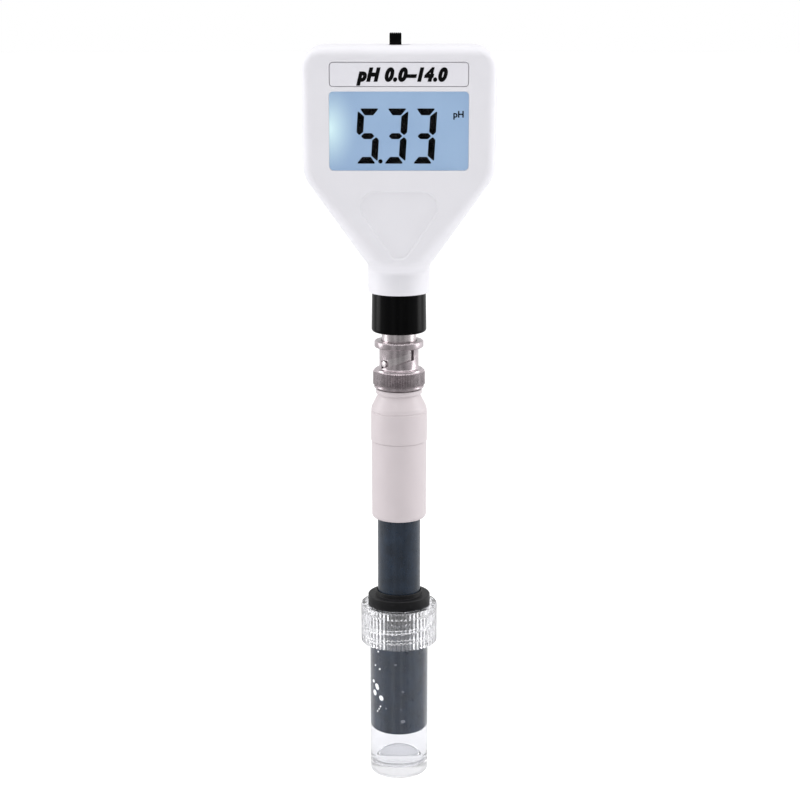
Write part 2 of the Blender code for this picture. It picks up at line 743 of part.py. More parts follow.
def make_trimmers():
    """Two trimming potentiometers, each with a long slotted adjuster."""
    for name, x, z in TRIMMERS:
        bounds = (x - TRIMMER_HALF, x + TRIMMER_HALF, z - TRIMMER_HALF, z + TRIMMER_HALF)
        body = add_object(name + "_body", block(bounds, MOUNT_Y, TRIMMER_BACK_Y), "trimmer_blue")
        cut(body, add_tool(name + "_bore_tool", rod(ADJUSTER_R + RUN, ADJUSTER_Y[0] - GAP,
                                                    TRIMMER_BACK_Y + OVER, axis="Y",
                                                    centre=(x, 0.0, z))))
        shaft = turned([(0, ADJUSTER_Y[0]), (ADJUSTER_R, ADJUSTER_Y[0]),
                        (ADJUSTER_R, ADJUSTER_Y[1] - ADJUSTER_EDGE),
                        (ADJUSTER_R - ADJUSTER_EDGE, ADJUSTER_Y[1]),
                        (0, ADJUSTER_Y[1])], SMALL_ROUND, "Y", (x, 0.0, z))
        adjuster = add_object(name + "_adjuster", shaft, "brass", (x, 0.0, z))
        reach = ADJUSTER_R + OVER
        slot = (x - reach, x + reach, z - ADJUSTER_SLOT / 2, z + ADJUSTER_SLOT / 2)
        cut(adjuster, add_tool(name + "_slot_tool",
                               block(slot, ADJUSTER_Y[1] - ADJUSTER_SLOT_DEPTH,
                                     ADJUSTER_Y[1] + OVER)))


def make_case_screws():
    """Pan-head screws with a cross recess, driven in from the back."""
    head_y, top_y = SCREW_HEAD_Y
    profile = [(0, SCREW_TIP_Y), (SCREW_SHANK_R, SCREW_TIP_Y + SCREW_POINT),
               (SCREW_SHANK_R, head_y), (SCREW_HEAD_R, head_y), (SCREW_HEAD_R, top_y - SCREW_EDGE),
               (SCREW_HEAD_R - SCREW_EDGE, top_y), (0, top_y)]
    for index, (x, z) in enumerate(SCREWS):
        number = str(index + 1)
        screw = add_object("case_screw_" + number, turned(profile, 12, "Y", (x, 0.0, z)),
                           "steel", (x, 0.0, z))
        for label, half_x, half_z in (("a", *RECESS_HALF), ("b", *RECESS_HALF[::-1])):
            bounds = (x - half_x, x + half_x, z - half_z, z + half_z)
            cut(screw, add_tool("recess_tool_" + number + label,
                                block(bounds, top_y - RECESS_DEPTH, top_y + OVER)))


# ======================= battery bay =======================

def hinge_line():
    """(y, z) of the door's hinge: the middle of its rounded lower edge."""
    return HEAD_HALF_DEPTH - DOOR_T / 2, DOOR[2] + DOOR_T / 2


def make_battery_door():
    """A plate with a rounded lower edge, two pintles and a snap tongue."""
    hinge_y, hinge_z = hinge_line()
    x0, x1, _, top = DOOR
    half = DOOR_T / 2
    outline = [(hinge_y - half, top), (hinge_y + half, top), (hinge_y + half, hinge_z)]
    for step in range(1, 8):
        a = math.pi * step / 8
        outline.append((hinge_y + half * math.cos(a), hinge_z - half * math.sin(a)))
    outline.append((hinge_y - half, hinge_z))
    plate = bmesh.new()
    face = plate.faces.new([plate.verts.new((x0, y, z)) for y, z in outline])
    grown = bmesh.ops.extrude_face_region(plate, geom=[face])
    moved = [v for v in grown["geom"] if isinstance(v, bmesh.types.BMVert)]
    bmesh.ops.translate(plate, verts=moved, vec=(x1 - x0, 0.0, 0.0))
    door = add_object("battery_door", plate, "white_shell", (0.0, hinge_y, hinge_z))
    pintles = [rod(PINTLE_R, -PINTLE_ROOT, PINTLE_LENGTH, 12, "X", (x1, hinge_y, hinge_z)),
               rod(PINTLE_R, -PINTLE_LENGTH, PINTLE_ROOT, 12, "X", (x0, hinge_y, hinge_z))]
    fuse(door, add_tool("pintle_tool", *pintles))
    tongue = (-TONGUE_HALF_X, TONGUE_HALF_X, *(top - drop for drop in TONGUE_DROP))
    fuse(door, add_tool("tongue_tool", block(tongue, TONGUE_Y, hinge_y)))


def make_battery():
    x0, x1, z0, z1 = HOLDER
    holder = add_object("battery_holder", block(HOLDER, MOUNT_Y, HOLDER_BACK_Y), "black_plastic")
    pocket = (x0 + HOLDER_WALL, x1 - HOLDER_WALL, z0 + HOLDER_WALL, z1 - HOLDER_WALL)
    cut(holder, add_tool("pocket_tool", block(pocket, MOUNT_Y + HOLDER_FLOOR,
                                         HOLDER_BACK_Y + OVER)))
    rim = CELL_R - CELL_RIM
    step = CELL_T - 2 * CELL_EDGE
    cell = [(0, 0.0), (CELL_R - CELL_EDGE, 0.0), (CELL_R, CELL_EDGE), (CELL_R, step - 0.1),
            (rim, step), (rim, CELL_T), (0, CELL_T)]
    for index in range(CELL_COUNT):
        start = CELL_FIRST_X - index * CELL_PITCH
        mirrored = [(r, -h) for r, h in cell]
        add_object("button_cell_" + str(index + 1),
                   turned(mirrored, 24, "X", (start, CELL_Y, CELL_Z)), "steel")
    plate = (CELL_FIRST_X + GAP, CELL_FIRST_X + 2 * GAP,
             CELL_Z - CONTACT_HALF_Z, CELL_Z + CONTACT_HALF_Z)
    front, back = CONTACT_INSET
    add_object("battery_contact_plus", block(plate, MOUNT_Y + front, HOLDER_BACK_Y - back),
               "nickel")
    cell_gap, wall_gap = SPRING_GAP
    end = CELL_FIRST_X - CELL_COUNT * CELL_PITCH - cell_gap
    add_object("battery_contact_spring", coil_spring(end, x0 + HOLDER_WALL + wall_gap), "nickel")


def coil_spring(start_x, end_x):
    """A conical spring along X, widening from start to end."""
    turns, per_turn = 3, 12
    count = turns * per_turn
    points = []
    for i in range(count + 1):
        part = i / count
        a = 2 * math.pi * turns * part
        radius = SPRING_R[0] + (SPRING_R[1] - SPRING_R[0]) * part
        points.append((start_x + (end_x - start_x) * part, CELL_Y + radius * math.cos(a),
                       CELL_Z + radius * math.sin(a)))
    return sweep(points, SPRING_WIRE_R, 5)


# ======================= neck, jack and wires =======================

def make_neck_and_jack():
    shoulder = NECK_BOTTOM_Z - GAP
    bore = JACK_THREAD_R + RUN
    low_r, high_r = SLEEVE_R
    sleeve = [(bore, SLEEVE_BOTTOM_Z), (low_r - SLEEVE_EDGE, SLEEVE_BOTTOM_Z),
              (low_r, SLEEVE_BOTTOM_Z + SLEEVE_EDGE), (high_r, shoulder),
              (SLEEVE_SPIGOT_R, shoulder), (SLEEVE_SPIGOT_R, SLEEVE_TOP_Z),
              (bore, SLEEVE_TOP_Z)]
    add_object("neck_sleeve", turned(sleeve), "black_plastic")

    shoulder_z = SLEEVE_BOTTOM_Z + JACK_STEP
    web_z = PLUG_TOP_Z + JACK_WEB
    hole = JACK_HOLE_R
    body = [(JACK_BORE_R, JACK_BOTTOM_Z), (JACK_BARREL_R - 0.25, JACK_BOTTOM_Z),
            (JACK_BARREL_R, JACK_BOTTOM_Z + 0.25), (JACK_BARREL_R, shoulder_z),
            (JACK_THREAD_R, shoulder_z), (JACK_THREAD_R, JACK_TOP_Z), (hole, JACK_TOP_Z),
            (hole, web_z), (JACK_BORE_R, web_z)]
    jack = add_object("jack_body", turned(body), "nickel")
    pins = []
    for turn in (0.0, 180.0):
        pin = rod(PIN_R, JACK_BARREL_R - PIN_ROOT, PIN_TIP_R, 16, "X")
        angle = math.radians(SLOT_START_DEG + turn)
        bmesh.ops.rotate(pin, verts=pin.verts, matrix=Matrix.Rotation(angle, 3, "Z"))
        bmesh.ops.translate(pin, verts=pin.verts, vec=(0.0, 0.0, SLOT_START_Z))
        pins.append(pin)
    fuse(jack, add_tool("jack_pins_tool", *pins))

    insulator_r = hole - RUN
    add_object("jack_insulator", tube(INSULATOR_BORE_R, insulator_r, INSULATOR_BOTTOM_Z,
                                      JACK_TOP_Z + JACK_STEP, SMALL_ROUND), "ptfe")
    outer, bore_r = CONTACT_R
    foot, bore_end, top = CONTACT_Z
    contact = [(0, top), (outer, top), (outer, foot), (bore_r, foot), (bore_r, bore_end),
               (0, bore_end)]
    add_object("jack_contact", turned(contact, 16), "brass")
    nut_low = SLEEVE_TOP_Z + GAP
    add_object("jack_nut", tube(JACK_THREAD_R + RUN, JACK_NUT_R, nut_low, nut_low + JACK_NUT_T),
               "nickel")


def make_wires():
    """Two leads from the board down to the jack."""
    start_y = MOUNT_Y + 0.5
    signal = [(-1.5, start_y, 163.2), (-2.0, start_y + 1.4, 160.0), (-1.2, 0.2, 156.4),
              (0.0, 0.0, 153.6), (0.0, 0.0, 151.7)]
    ground = [(1.5, start_y, 163.2), (2.8, start_y + 1.5, 160.0), (4.4, 1.0, 156.0),
              (4.4, 0.6, 152.8), (3.9, 0.4, 150.4)]
    add_object("signal_wire", sweep(smooth_path(signal, 3), WIRE_R, 6), "wire_red")
    add_object("ground_wire", sweep(smooth_path(ground, 3), WIRE_R, 6), "wire_black")


# ======================= coupling nut and plug =======================

def slot_bodies():
    """The two bayonet slots and the entry grooves that lead to them."""
    bands, grooves = [], []
    inner, outer = NUT_BORE_R - SLOT_MARGIN, NUT_WAIST_R + SLOT_MARGIN
    section = [(inner, -SLOT_HALF), (outer, -SLOT_HALF), (outer, SLOT_HALF), (inner, SLOT_HALF)]
    end_deg = math.degrees(SLOT_HALF / NUT_WAIST_R)
    entry_deg = SLOT_START_DEG + SLOT_SWEEP_DEG
    per_deg = SLOT_RISE / SLOT_SWEEP_DEG
    entry_z = SLOT_START_Z + SLOT_RISE - SLOT_HALF
    height = NUT_TOP_Z + OVER - entry_z
    groove = [(inner, 0.0), (outer, 0.0), (outer, height), (inner, height)]
    for turn in (0.0, 180.0):
        bands.append(helical_bar(section, SLOT_START_DEG + turn - end_deg,
                                 SLOT_SWEEP_DEG + SLOT_END * end_deg,
                                 SLOT_START_Z - per_deg * end_deg,
                                 per_deg * (SLOT_SWEEP_DEG + SLOT_END * end_deg), 16))
        grooves.append(helical_bar(groove, entry_deg + turn - end_deg, 2 * end_deg,
                                   entry_z, 0.0, 4))
    return bands, grooves


def make_coupling_nut():
    low, high = NUT_GRIP_Z
    profile = [(NUT_COLLAR_R, NUT_BOTTOM_Z), (NUT_RING_R - 0.15, NUT_BOTTOM_Z),
               (NUT_RING_R, NUT_BOTTOM_Z + 0.15), (NUT_RING_R, low),
               (NUT_GRIP_R - 0.15, low), (NUT_GRIP_R, low + 0.15),
               (NUT_GRIP_R, high - 0.2), (NUT_GRIP_R - 0.2, high), (NUT_STEP_R, high),
               (NUT_STEP_R - 0.2, NUT_STEP_Z), (NUT_WAIST_R, NUT_STEP_Z),
               (NUT_WAIST_R, NUT_FLANGE_Z), (NUT_FLANGE_R - 0.15, NUT_FLANGE_Z),
               (NUT_FLANGE_R, NUT_FLANGE_Z + 0.15), (NUT_FLANGE_R, NUT_TOP_Z - 0.2),
               (NUT_FLANGE_R - 0.2, NUT_TOP_Z), (NUT_BORE_R, NUT_TOP_Z),
               (NUT_BORE_R, NUT_COLLAR_Z), (NUT_COLLAR_R, NUT_COLLAR_Z)]
    nut = add_object("coupling_nut", turned(profile), "nickel", (0.0, 0.0, SLOT_START_Z))
    bands, grooves = slot_bodies()
    cut(nut, add_tool("bayonet_band_tool", *bands))
    cut(nut, add_tool("bayonet_groove_tool", *grooves))


def radial_slits(name, half_width, inner, outer, z0, z1, count, first_deg):
    slits = []
    for k in range(count):
        slit = bmesh.new()
        bmesh.ops.create_cube(slit, size=1.0)
        bmesh.ops.scale(slit, verts=slit.verts, vec=(outer - inner, 2 * half_width, z1 - z0))
        middle = ((inner + outer) / 2, 0.0, (z0 + z1) / 2)
        bmesh.ops.translate(slit, verts=slit.verts, vec=middle)
        angle = math.radians(first_deg + 360.0 * k / count)
        bmesh.ops.rotate(slit, verts=slit.verts, matrix=Matrix.Rotation(angle, 3, "Z"))
        slits.append(slit)
    return add_tool(name, *slits)


def make_plug():
    low, high = PLUG_FLANGE_Z
    edge_r, edge_z = PLUG_EDGE
    profile = [(PLUG_WIRE_HOLE_R, PLUG_FOOT_Z), (PLUG_NECK_R, PLUG_FOOT_Z), (PLUG_NECK_R, low),
               (PLUG_FLANGE_R, low), (PLUG_FLANGE_R, high), (PLUG_CONTACT_R, high),
               (PLUG_CONTACT_R, PLUG_TOP_Z - edge_z), (PLUG_CONTACT_R - edge_r, PLUG_TOP_Z),
               (PLUG_BORE_R, PLUG_TOP_Z), (PLUG_BORE_R, PLUG_WELL_Z),
               (PLUG_WIRE_HOLE_R, PLUG_WELL_Z)]
    body = add_object("plug_body", turned(profile), "nickel")
    cut(body, radial_slits("contact_slit_tool", PLUG_SLIT_HALF, PLUG_BORE_R - 0.5,
                           PLUG_CONTACT_R + 0.5, PLUG_SLIT_Z, PLUG_TOP_Z + OVER, 4, 45.0))
    add_object("plug_insulator", tube(PLUG_INSULATOR_BORE_R, PLUG_BORE_R - RUN,
                                      *PLUG_INSULATOR_Z, SMALL_ROUND), "ptfe")
    thick, thin = PLUG_PIN_R
    foot, step_low, step_high, shank, tip = PLUG_PIN_Z
    pin = [(0, foot), (thick, foot), (thick, step_low), (thin, step_high), (thin, shank), (0, tip)]
    add_object("plug_pin", turned(pin, 16), "brass")
    add_object("wave_washer", tube(*WASHER_R, *WASHER_Z, SMALL_ROUND), "steel")
    add_object("plug_gasket", tube(PLUG_CONTACT_R + RUN, WASHER_R[1], *GASKET_Z, SMALL_ROUND),
               "black_rubber")


# ======================= electrode =======================

def make_electrode_cap():
    top = CAP_TOP_Z
    neck_bore = PLUG_NECK_R + RUN
    bore = TUBE_R + RUN
    shoulder = arc(*CAP_SHOULDER, 48, 0, 4)
    profile = [(neck_bore, top), (neck_bore, TUBE_TOP_Z + GAP), (bore, TUBE_TOP_Z + GAP),
               (bore, CAP_BOTTOM_Z), (CAP_R - 0.25, CAP_BOTTOM_Z), (CAP_R, CAP_BOTTOM_Z + 0.25)]
    profile += shoulder[::-1]
    profile += [*CAP_WAIST, (CAP_COLLAR_R, CAP_COLLAR_Z), (CAP_COLLAR_R, top - 0.35),
                (CAP_COLLAR_R - 0.25, top)]
    add_object("electrode_cap", turned(profile), "cap_white")

    handle_top = CAP_BOTTOM_Z - GAP
    low = HANDLE_BOTTOM_Z
    handle = [(bore, handle_top), (bore, low)]
    edge = HANDLE_EDGE_R
    handle += arc(HANDLE_R - edge, low + edge, edge, -90, 0, 3)
    handle += [(HANDLE_R, handle_top)]
    add_object("handle_sleeve", turned(handle), "cap_white")


def make_electrode_tube():
    body = add_object("electrode_tube", tube(TUBE_BORE_R, TUBE_R, TUBE_BOTTOM_Z, TUBE_TOP_Z),
                      "electrode_body")
    junction = (0.0, 0.0, JUNCTION_Z)
    cut(body, add_tool("junction_tool", rod(JUNCTION_R + RUN, TUBE_BORE_R - OVER,
                                           TUBE_R + OVER, 16, "Y", junction)))
    add_object("junction_plug", rod(JUNCTION_R, *JUNCTION_Y, 16, "Y", junction), "ceramic")

    step_low, step_high = GUARD_STEP_Z
    guard = [(GUARD_FOOT_BORE_R, GUARD_BOTTOM_Z), (TUBE_R - 0.5, GUARD_BOTTOM_Z),
             (TUBE_R, GUARD_BOTTOM_Z + 0.5), (TUBE_R, TUBE_BOTTOM_Z - GAP),
             (GUARD_SPIGOT_R, TUBE_BOTTOM_Z - GAP), (GUARD_SPIGOT_R, GUARD_SPIGOT_TOP_Z),
             (GUARD_SPIGOT_BORE_R, GUARD_SPIGOT_TOP_Z), (GUARD_SPIGOT_BORE_R, step_high),
             (GUARD_FOOT_BORE_R, step_low)]
    add_object("bulb_guard", turned(guard), "electrode_body")


def make_electrode_core():
    """Glass stem with its sensing bulb, the seal that holds it, and the silver wires."""
    outer = arc(0.0, BULB_Z, BULB_R, -90, 52, 6)[1:]
    inner = arc(0.0, BULB_Z, BULB_R - BULB_WALL, 58, -90, 6)[:-1]
    bottom = [(0, BULB_Z - BULB_R)]
    neck_z = BULB_Z + BULB_R + 0.9
    stem = [(STEM_R, neck_z), (STEM_R, STEM_TOP_Z), (STEM_R - STEM_WALL, STEM_TOP_Z),
            (STEM_R - STEM_WALL, neck_z - BULB_WALL)]
    closing = [(0, BULB_Z - BULB_R + BULB_WALL)]
    add_object("glass_stem", turned(bottom + outer + stem + inner + closing, SMALL_ROUND),
               "electrode_glass")
    add_object("stem_seal", tube(STEM_R + RUN, TUBE_BORE_R - RUN, *STEM_SEAL_Z, SMALL_ROUND),
               "black_rubber")
    add_object("inner_wire", rod(SILVER_R, INNER_WIRE_Z, SILVER_TOP_Z, 10), "silver")
    add_object("reference_wire", rod(SILVER_R, REFERENCE_WIRE_Z, SILVER_TOP_Z, 10,
                                     centre=(REFERENCE_WIRE_X, 0.0, 0.0)), "silver")


# ======================= storage bottle =======================

def thread_section(root, crest):
    """Trapezium of a thread ridge, sunk a little into the wall it grows from."""
    sunk = root - 0.3 if crest > root else root + 0.3
    return [(sunk, -0.8), (crest, -0.4), (crest, 0.4), (sunk, 0.8)]


def make_seal():
    roof_low, roof_high = CAP_ROOF_Z
    profile = [(SEAL_BORE_R, SEAL_FLANGE_Z), (SEAL_FLANGE_R, SEAL_FLANGE_Z),
               (SEAL_FLANGE_R, roof_low - GAP), (SEAL_WAIST_R, roof_low - GAP),
               (SEAL_WAIST_R, roof_high + GAP), (SEAL_R, roof_high + GAP),
               (SEAL_R, SEAL_TOP_Z - 0.3), (SEAL_R - 0.3, SEAL_TOP_Z),
               (SEAL_LIP_R, SEAL_TOP_Z), (SEAL_LIP_R, SEAL_LIP_Z), (SEAL_BORE_R, SEAL_LIP_Z)]
    add_object("bottle_seal", turned(profile), "black_rubber")


def make_bottle_cap():
    low, high = BOTTLE_CAP_Z
    roof_low, roof_high = CAP_ROOF_Z
    profile = [(BOTTLE_CAP_BORE_R, low), (BOTTLE_CAP_R - 0.4, low), (BOTTLE_CAP_R, low + 0.4),
               (BOTTLE_CAP_R, high - 0.4), (BOTTLE_CAP_R - 0.4, high), (CAP_WELL_R, high),
               (CAP_WELL_R, roof_high), (CAP_HOLE_R, roof_high), (CAP_HOLE_R, roof_low),
               (BOTTLE_CAP_BORE_R, roof_low)]
    cap = add_object("bottle_cap", turned(profile), "clear_plastic")
    crest = BOTTLE_CAP_BORE_R - THREAD_HEIGHT
    ridge = helical_bar(thread_section(BOTTLE_CAP_BORE_R, crest), 181.0, 360.0 * THREAD_TURNS,
                        THREAD_START_Z, THREAD_PITCH * THREAD_TURNS, int(28 * THREAD_TURNS))
    fuse(cap, add_tool("cap_thread_tool", ridge))


def make_bottle():
    foot = BOTTLE_FOOT_R
    rise = DOME_TOP_Z - BOTTLE_FLOOR_Z
    around = [math.radians(degrees) for degrees in (0, 22, 44, 66, 84)]
    profile = [(0, 0.0)] + arc(BOTTLE_R - foot, foot, foot, -90, 0, 4)
    profile += [(BOTTLE_R, BOTTLE_RIM_Z - 0.3), (BOTTLE_R - 0.3, BOTTLE_RIM_Z),
                (BOTTLE_BORE_R, BOTTLE_RIM_Z), (BOTTLE_BORE_R, BOTTLE_FLOOR_Z + 0.9),
                (FLOOR_EDGE_R[0], BOTTLE_FLOOR_Z), (FLOOR_EDGE_R[1], BOTTLE_FLOOR_Z)]
    profile += [(DOME_R * math.sin(a), BOTTLE_FLOOR_Z + rise * math.cos(a)) for a in around[::-1]]
    bottle = add_object("bottle", turned(profile), "clear_plastic")
    ridge = helical_bar(thread_section(BOTTLE_R, BOTTLE_R + THREAD_HEIGHT), 1.0,
                        360.0 * THREAD_TURNS, THREAD_START_Z, THREAD_PITCH * THREAD_TURNS,
                        int(28 * THREAD_TURNS))
    fuse(bottle, add_tool("bottle_thread_tool", ridge))


def main():
    clear_scene()
    make_shells()
    make_display()
    make_board()
    make_switch()
    make_trimmers()
    make_case_screws()
    make_battery_door()
    make_battery()
    make_neck_and_jack()
    make_wires()
    make_coupling_nut()
    make_plug()
    make_electrode_cap()
    make_electrode_tube()
    make_electrode_core()
    make_seal()
    make_bottle_cap()
    make_bottle()


main()
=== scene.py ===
"""Looks for the pH meter: fine meshes, materials, floor, light and camera round the CAD frame.

Lengths in this file are millimetres, and become metres when a mesh is made.
"""

import math

import bmesh
import bpy
from mathutils import Matrix, Vector


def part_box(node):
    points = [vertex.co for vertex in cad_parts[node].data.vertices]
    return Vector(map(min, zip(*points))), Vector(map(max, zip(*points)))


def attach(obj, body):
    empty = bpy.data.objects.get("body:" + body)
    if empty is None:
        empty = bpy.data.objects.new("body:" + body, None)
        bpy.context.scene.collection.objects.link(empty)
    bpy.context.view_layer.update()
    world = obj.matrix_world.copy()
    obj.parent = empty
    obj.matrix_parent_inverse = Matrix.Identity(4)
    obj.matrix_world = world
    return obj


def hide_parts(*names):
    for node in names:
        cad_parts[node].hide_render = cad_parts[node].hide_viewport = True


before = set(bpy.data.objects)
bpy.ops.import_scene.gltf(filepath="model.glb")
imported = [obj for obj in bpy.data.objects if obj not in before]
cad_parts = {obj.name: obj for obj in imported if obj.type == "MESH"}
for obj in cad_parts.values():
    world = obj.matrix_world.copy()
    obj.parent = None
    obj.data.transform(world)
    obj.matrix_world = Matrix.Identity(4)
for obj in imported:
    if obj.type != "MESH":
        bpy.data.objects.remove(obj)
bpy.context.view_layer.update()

MM = 0.001
METRES = (MM, MM, MM)
TAU = 2 * math.pi
TINY = 1e-6


# ======================= materials =======================

def linear(*srgb):
    """Linear colour from 0 to 255 screen values."""
    made = []
    for value in srgb:
        c = value / 255
        made.append(c / 12.92 if c <= 0.04045 else ((c + 0.055) / 1.055) ** 2.4)
    return (*made, 1.0)


def grey(level):
    return (level, level, level, 1.0)


def scaled(color, factor):
    return (*[min(c * factor, 1.0) for c in color[:3]], 1.0)


class Nodes:
    """Short calls for building a node tree."""

    def __init__(self, tree, coords="Object"):
        self.tree = tree
        self.coords = self.new("TexCoord").outputs[coords]

    def feed(self, socket, value):
        """Links a socket to another one, or sets its value."""
        if isinstance(value, bpy.types.NodeSocket):
            self.tree.links.new(value, socket)
        else:
            socket.default_value = value

    def new(self, kind, inputs=(), **settings):
        node = self.tree.nodes.new("ShaderNode" + kind)
        for label, value in settings.items():
            setattr(node, label, value)
        for key, value in dict(inputs).items():
            self.feed(node.inputs[key], value)
        return node

    def place(self):
        """The point's own X, Y and Z."""
        return self.new("SeparateXYZ", {0: self.coords}).outputs

    def noise(self, size_mm, detail=3.0, stretch=(1, 1, 1)):
        """Noise whose features are about size_mm across."""
        scale = [s / (size_mm * MM) for s in stretch]
        vector = self.new("Mapping", {"Vector": self.coords, "Scale": scale}).outputs["Vector"]
        return self.new("TexNoise", {"Vector": vector, "Scale": 1.0, "Detail": detail,
                                     "Roughness": 0.55}).outputs["Fac"]

    def spread(self, value, low, high, start=0.3, end=0.7, **settings):
        """Maps start to end onto low to high."""
        return self.new("MapRange", {"Value": value, "From Min": start, "From Max": end,
                                     "To Min": low, "To Max": high}, **settings).outputs["Result"]

    def blend(self, factor, a, b):
        return self.new("Mix", {"Factor": factor, "A": a, "B": b},
                        data_type="RGBA").outputs["Result"]

    def math(self, operation, a, b=0.0):
        return self.new("Math", {0: a, 1: b}, operation=operation).outputs[0]

    def distance(self, a, b):
        """The length of a and b at right angles."""
        squares = [self.math("POWER", side, 2.0) for side in (a, b)]
        return self.math("SQRT", self.math("ADD", *squares))

    def bump(self, height, depth_mm):
        return self.new("Bump", {"Height": height, "Distance": depth_mm * MM,
                                 "Strength": 1.0}).outputs["Normal"]


class Look(Nodes):
    """One material, and its shader."""

    def __init__(self, name):
        self.material = bpy.data.materials.new(name)
        self.material.use_nodes = True
        super().__init__(self.material.node_tree)
        self.shader = self.tree.nodes["Principled BSDF"]

    def set(self, **values):
        for label, value in values.items():
            self.feed(self.shader.inputs[label.replace("_", " ")], value)


SPECK_SIZE, SPECK_TONE = 2.2, 0.55  # against the grain's size and the clean colour
SPECK_RANGE = (0.56, 0.72)


def finish(name, color, rough, metal=0.0, tone=0.04, blotch_mm=9.0, vary=0.06,
           grain_mm=0.35, grain_depth=0.006, stretch=(1, 1, 1), dirt=0.0, **sockets):
    """A material with tone, gloss and grain that vary over the surface."""
    n = Look(name)
    blotch = n.spread(n.noise(blotch_mm, 2.0), 0.0, 1.0)
    base = n.blend(blotch, scaled(color, 1 - tone), scaled(color, 1 + tone))
    grain = n.noise(grain_mm, 4.0, stretch)
    if dirt:
        speck = n.spread(n.noise(grain_mm * SPECK_SIZE, 2.0), 0.0, 1.0, *SPECK_RANGE)
        base = n.blend(n.math("MULTIPLY", speck, dirt), base, scaled(color, SPECK_TONE))
    n.set(Base_Color=base, Roughness=n.spread(grain, rough - vary, rough + vary),
          Metallic=metal, **sockets)
    if grain_depth:
        n.set(Normal=n.bump(grain, grain_depth))
    return n.material


LCD_LIGHT, LCD_DARK_SHARE = 0.815, 0.82
GLOW_IN, GLOW_UP, GLOW_FLATNESS = 0.8, 0.6, 0.62  # the lamp's place, mm from edge and middle
GLOW_REACH, GLOW_FALL = (0.5, 7.8), 1.6


def lcd_material():
    """Polarizer blue, lit from an LED at the left edge, with the cell's faint even grain."""
    n = Look("lcd_lit")
    low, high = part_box("lcd_glass")
    x, _, z = n.place()
    across = n.math("SUBTRACT", x, low[0] + GLOW_IN * MM)
    up = n.math("SUBTRACT", z, (low[2] + high[2]) / 2 + GLOW_UP * MM)
    near = n.distance(across, n.math("MULTIPLY", up, GLOW_FLATNESS))
    start, end = GLOW_REACH
    glow = n.math("POWER", n.spread(near, 1.0, 0.0, start * MM, end * MM), GLOW_FALL)
    tint = n.spread(n.noise(14.0, 1.0), 0.0, 1.0)
    sheet = n.blend(tint, linear(152, 179, 212), linear(158, 185, 216))
    cyan = n.blend(glow, sheet, linear(222, 250, 255))
    n.set(Base_Color=n.blend(LCD_DARK_SHARE, cyan, (0.0, 0.0, 0.0, 1.0)), Emission_Color=cyan,
          Roughness=n.spread(n.noise(0.3), 0.3, 0.4), Emission_Strength=LCD_LIGHT,
          Specular_IOR_Level=0.1)
    return n.material


def board_material():
    """Solder mask over copper tracks and pads."""
    n = Look("solder_mask")
    across = n.new("Mapping", {"Vector": n.coords, "Rotation": (math.pi / 2, 0, 0),
                               "Scale": (1 / MM, 1 / MM, 1 / MM)}).outputs["Vector"]
    tracks = n.new("TexBrick", {"Vector": across, "Scale": 1.0, "Color1": grey(0.0),
                                "Color2": grey(0.15), "Mortar": grey(1.0), "Mortar Size": 0.09,
                                "Brick Width": 2.4, "Row Height": 1.1}).outputs["Color"]
    copper = n.spread(tracks, 0.0, 1.0, 0.2, 0.9)
    n.set(Base_Color=n.blend(copper, (0.012, 0.11, 0.045, 1.0), (0.035, 0.24, 0.09, 1.0)),
          Normal=n.bump(copper, 0.03), Roughness=n.spread(n.noise(1.0), 0.25, 0.4))
    return n.material


def clear_material(name, color, ior, rough=0.02, wave_mm=5.0, wave_depth=0.004, clear=1.0,
                   worn=None):
    """Clear plastic or glass with faint flow lines in its surface.

    worn is (by radius, start, end, roughness, clearness): the surface goes from new at start
    to scuffed at end, both in millimetres from the axis, or in height.
    """
    n = Look(name)
    flow = n.noise(wave_mm, 1.0, (1, 1, 0.35))
    gloss = n.spread(n.noise(0.6), rough * 0.5, rough * 1.6)
    n.set(Base_Color=n.blend(n.spread(flow, 0.0, 1.0), scaled(color, 0.985), color), IOR=ior,
          Transmission_Weight=clear)
    if wave_depth:
        n.set(Normal=n.bump(flow, wave_depth))
    if worn:
        by_radius, start, end, worn_rough, worn_clear = worn
        x, y, z = n.place()
        wear = n.spread(n.distance(x, y) if by_radius else z, 0.0, 1.0, start * MM, end * MM)
        gloss = n.math("ADD", gloss, n.math("MULTIPLY", wear, worn_rough))
        n.set(Transmission_Weight=n.spread(wear, clear, worn_clear, 0.0, 1.0))
    n.set(Roughness=gloss)
    return n.material


PLASTIC_IOR = 1.49
WATER_IOR = 1.33

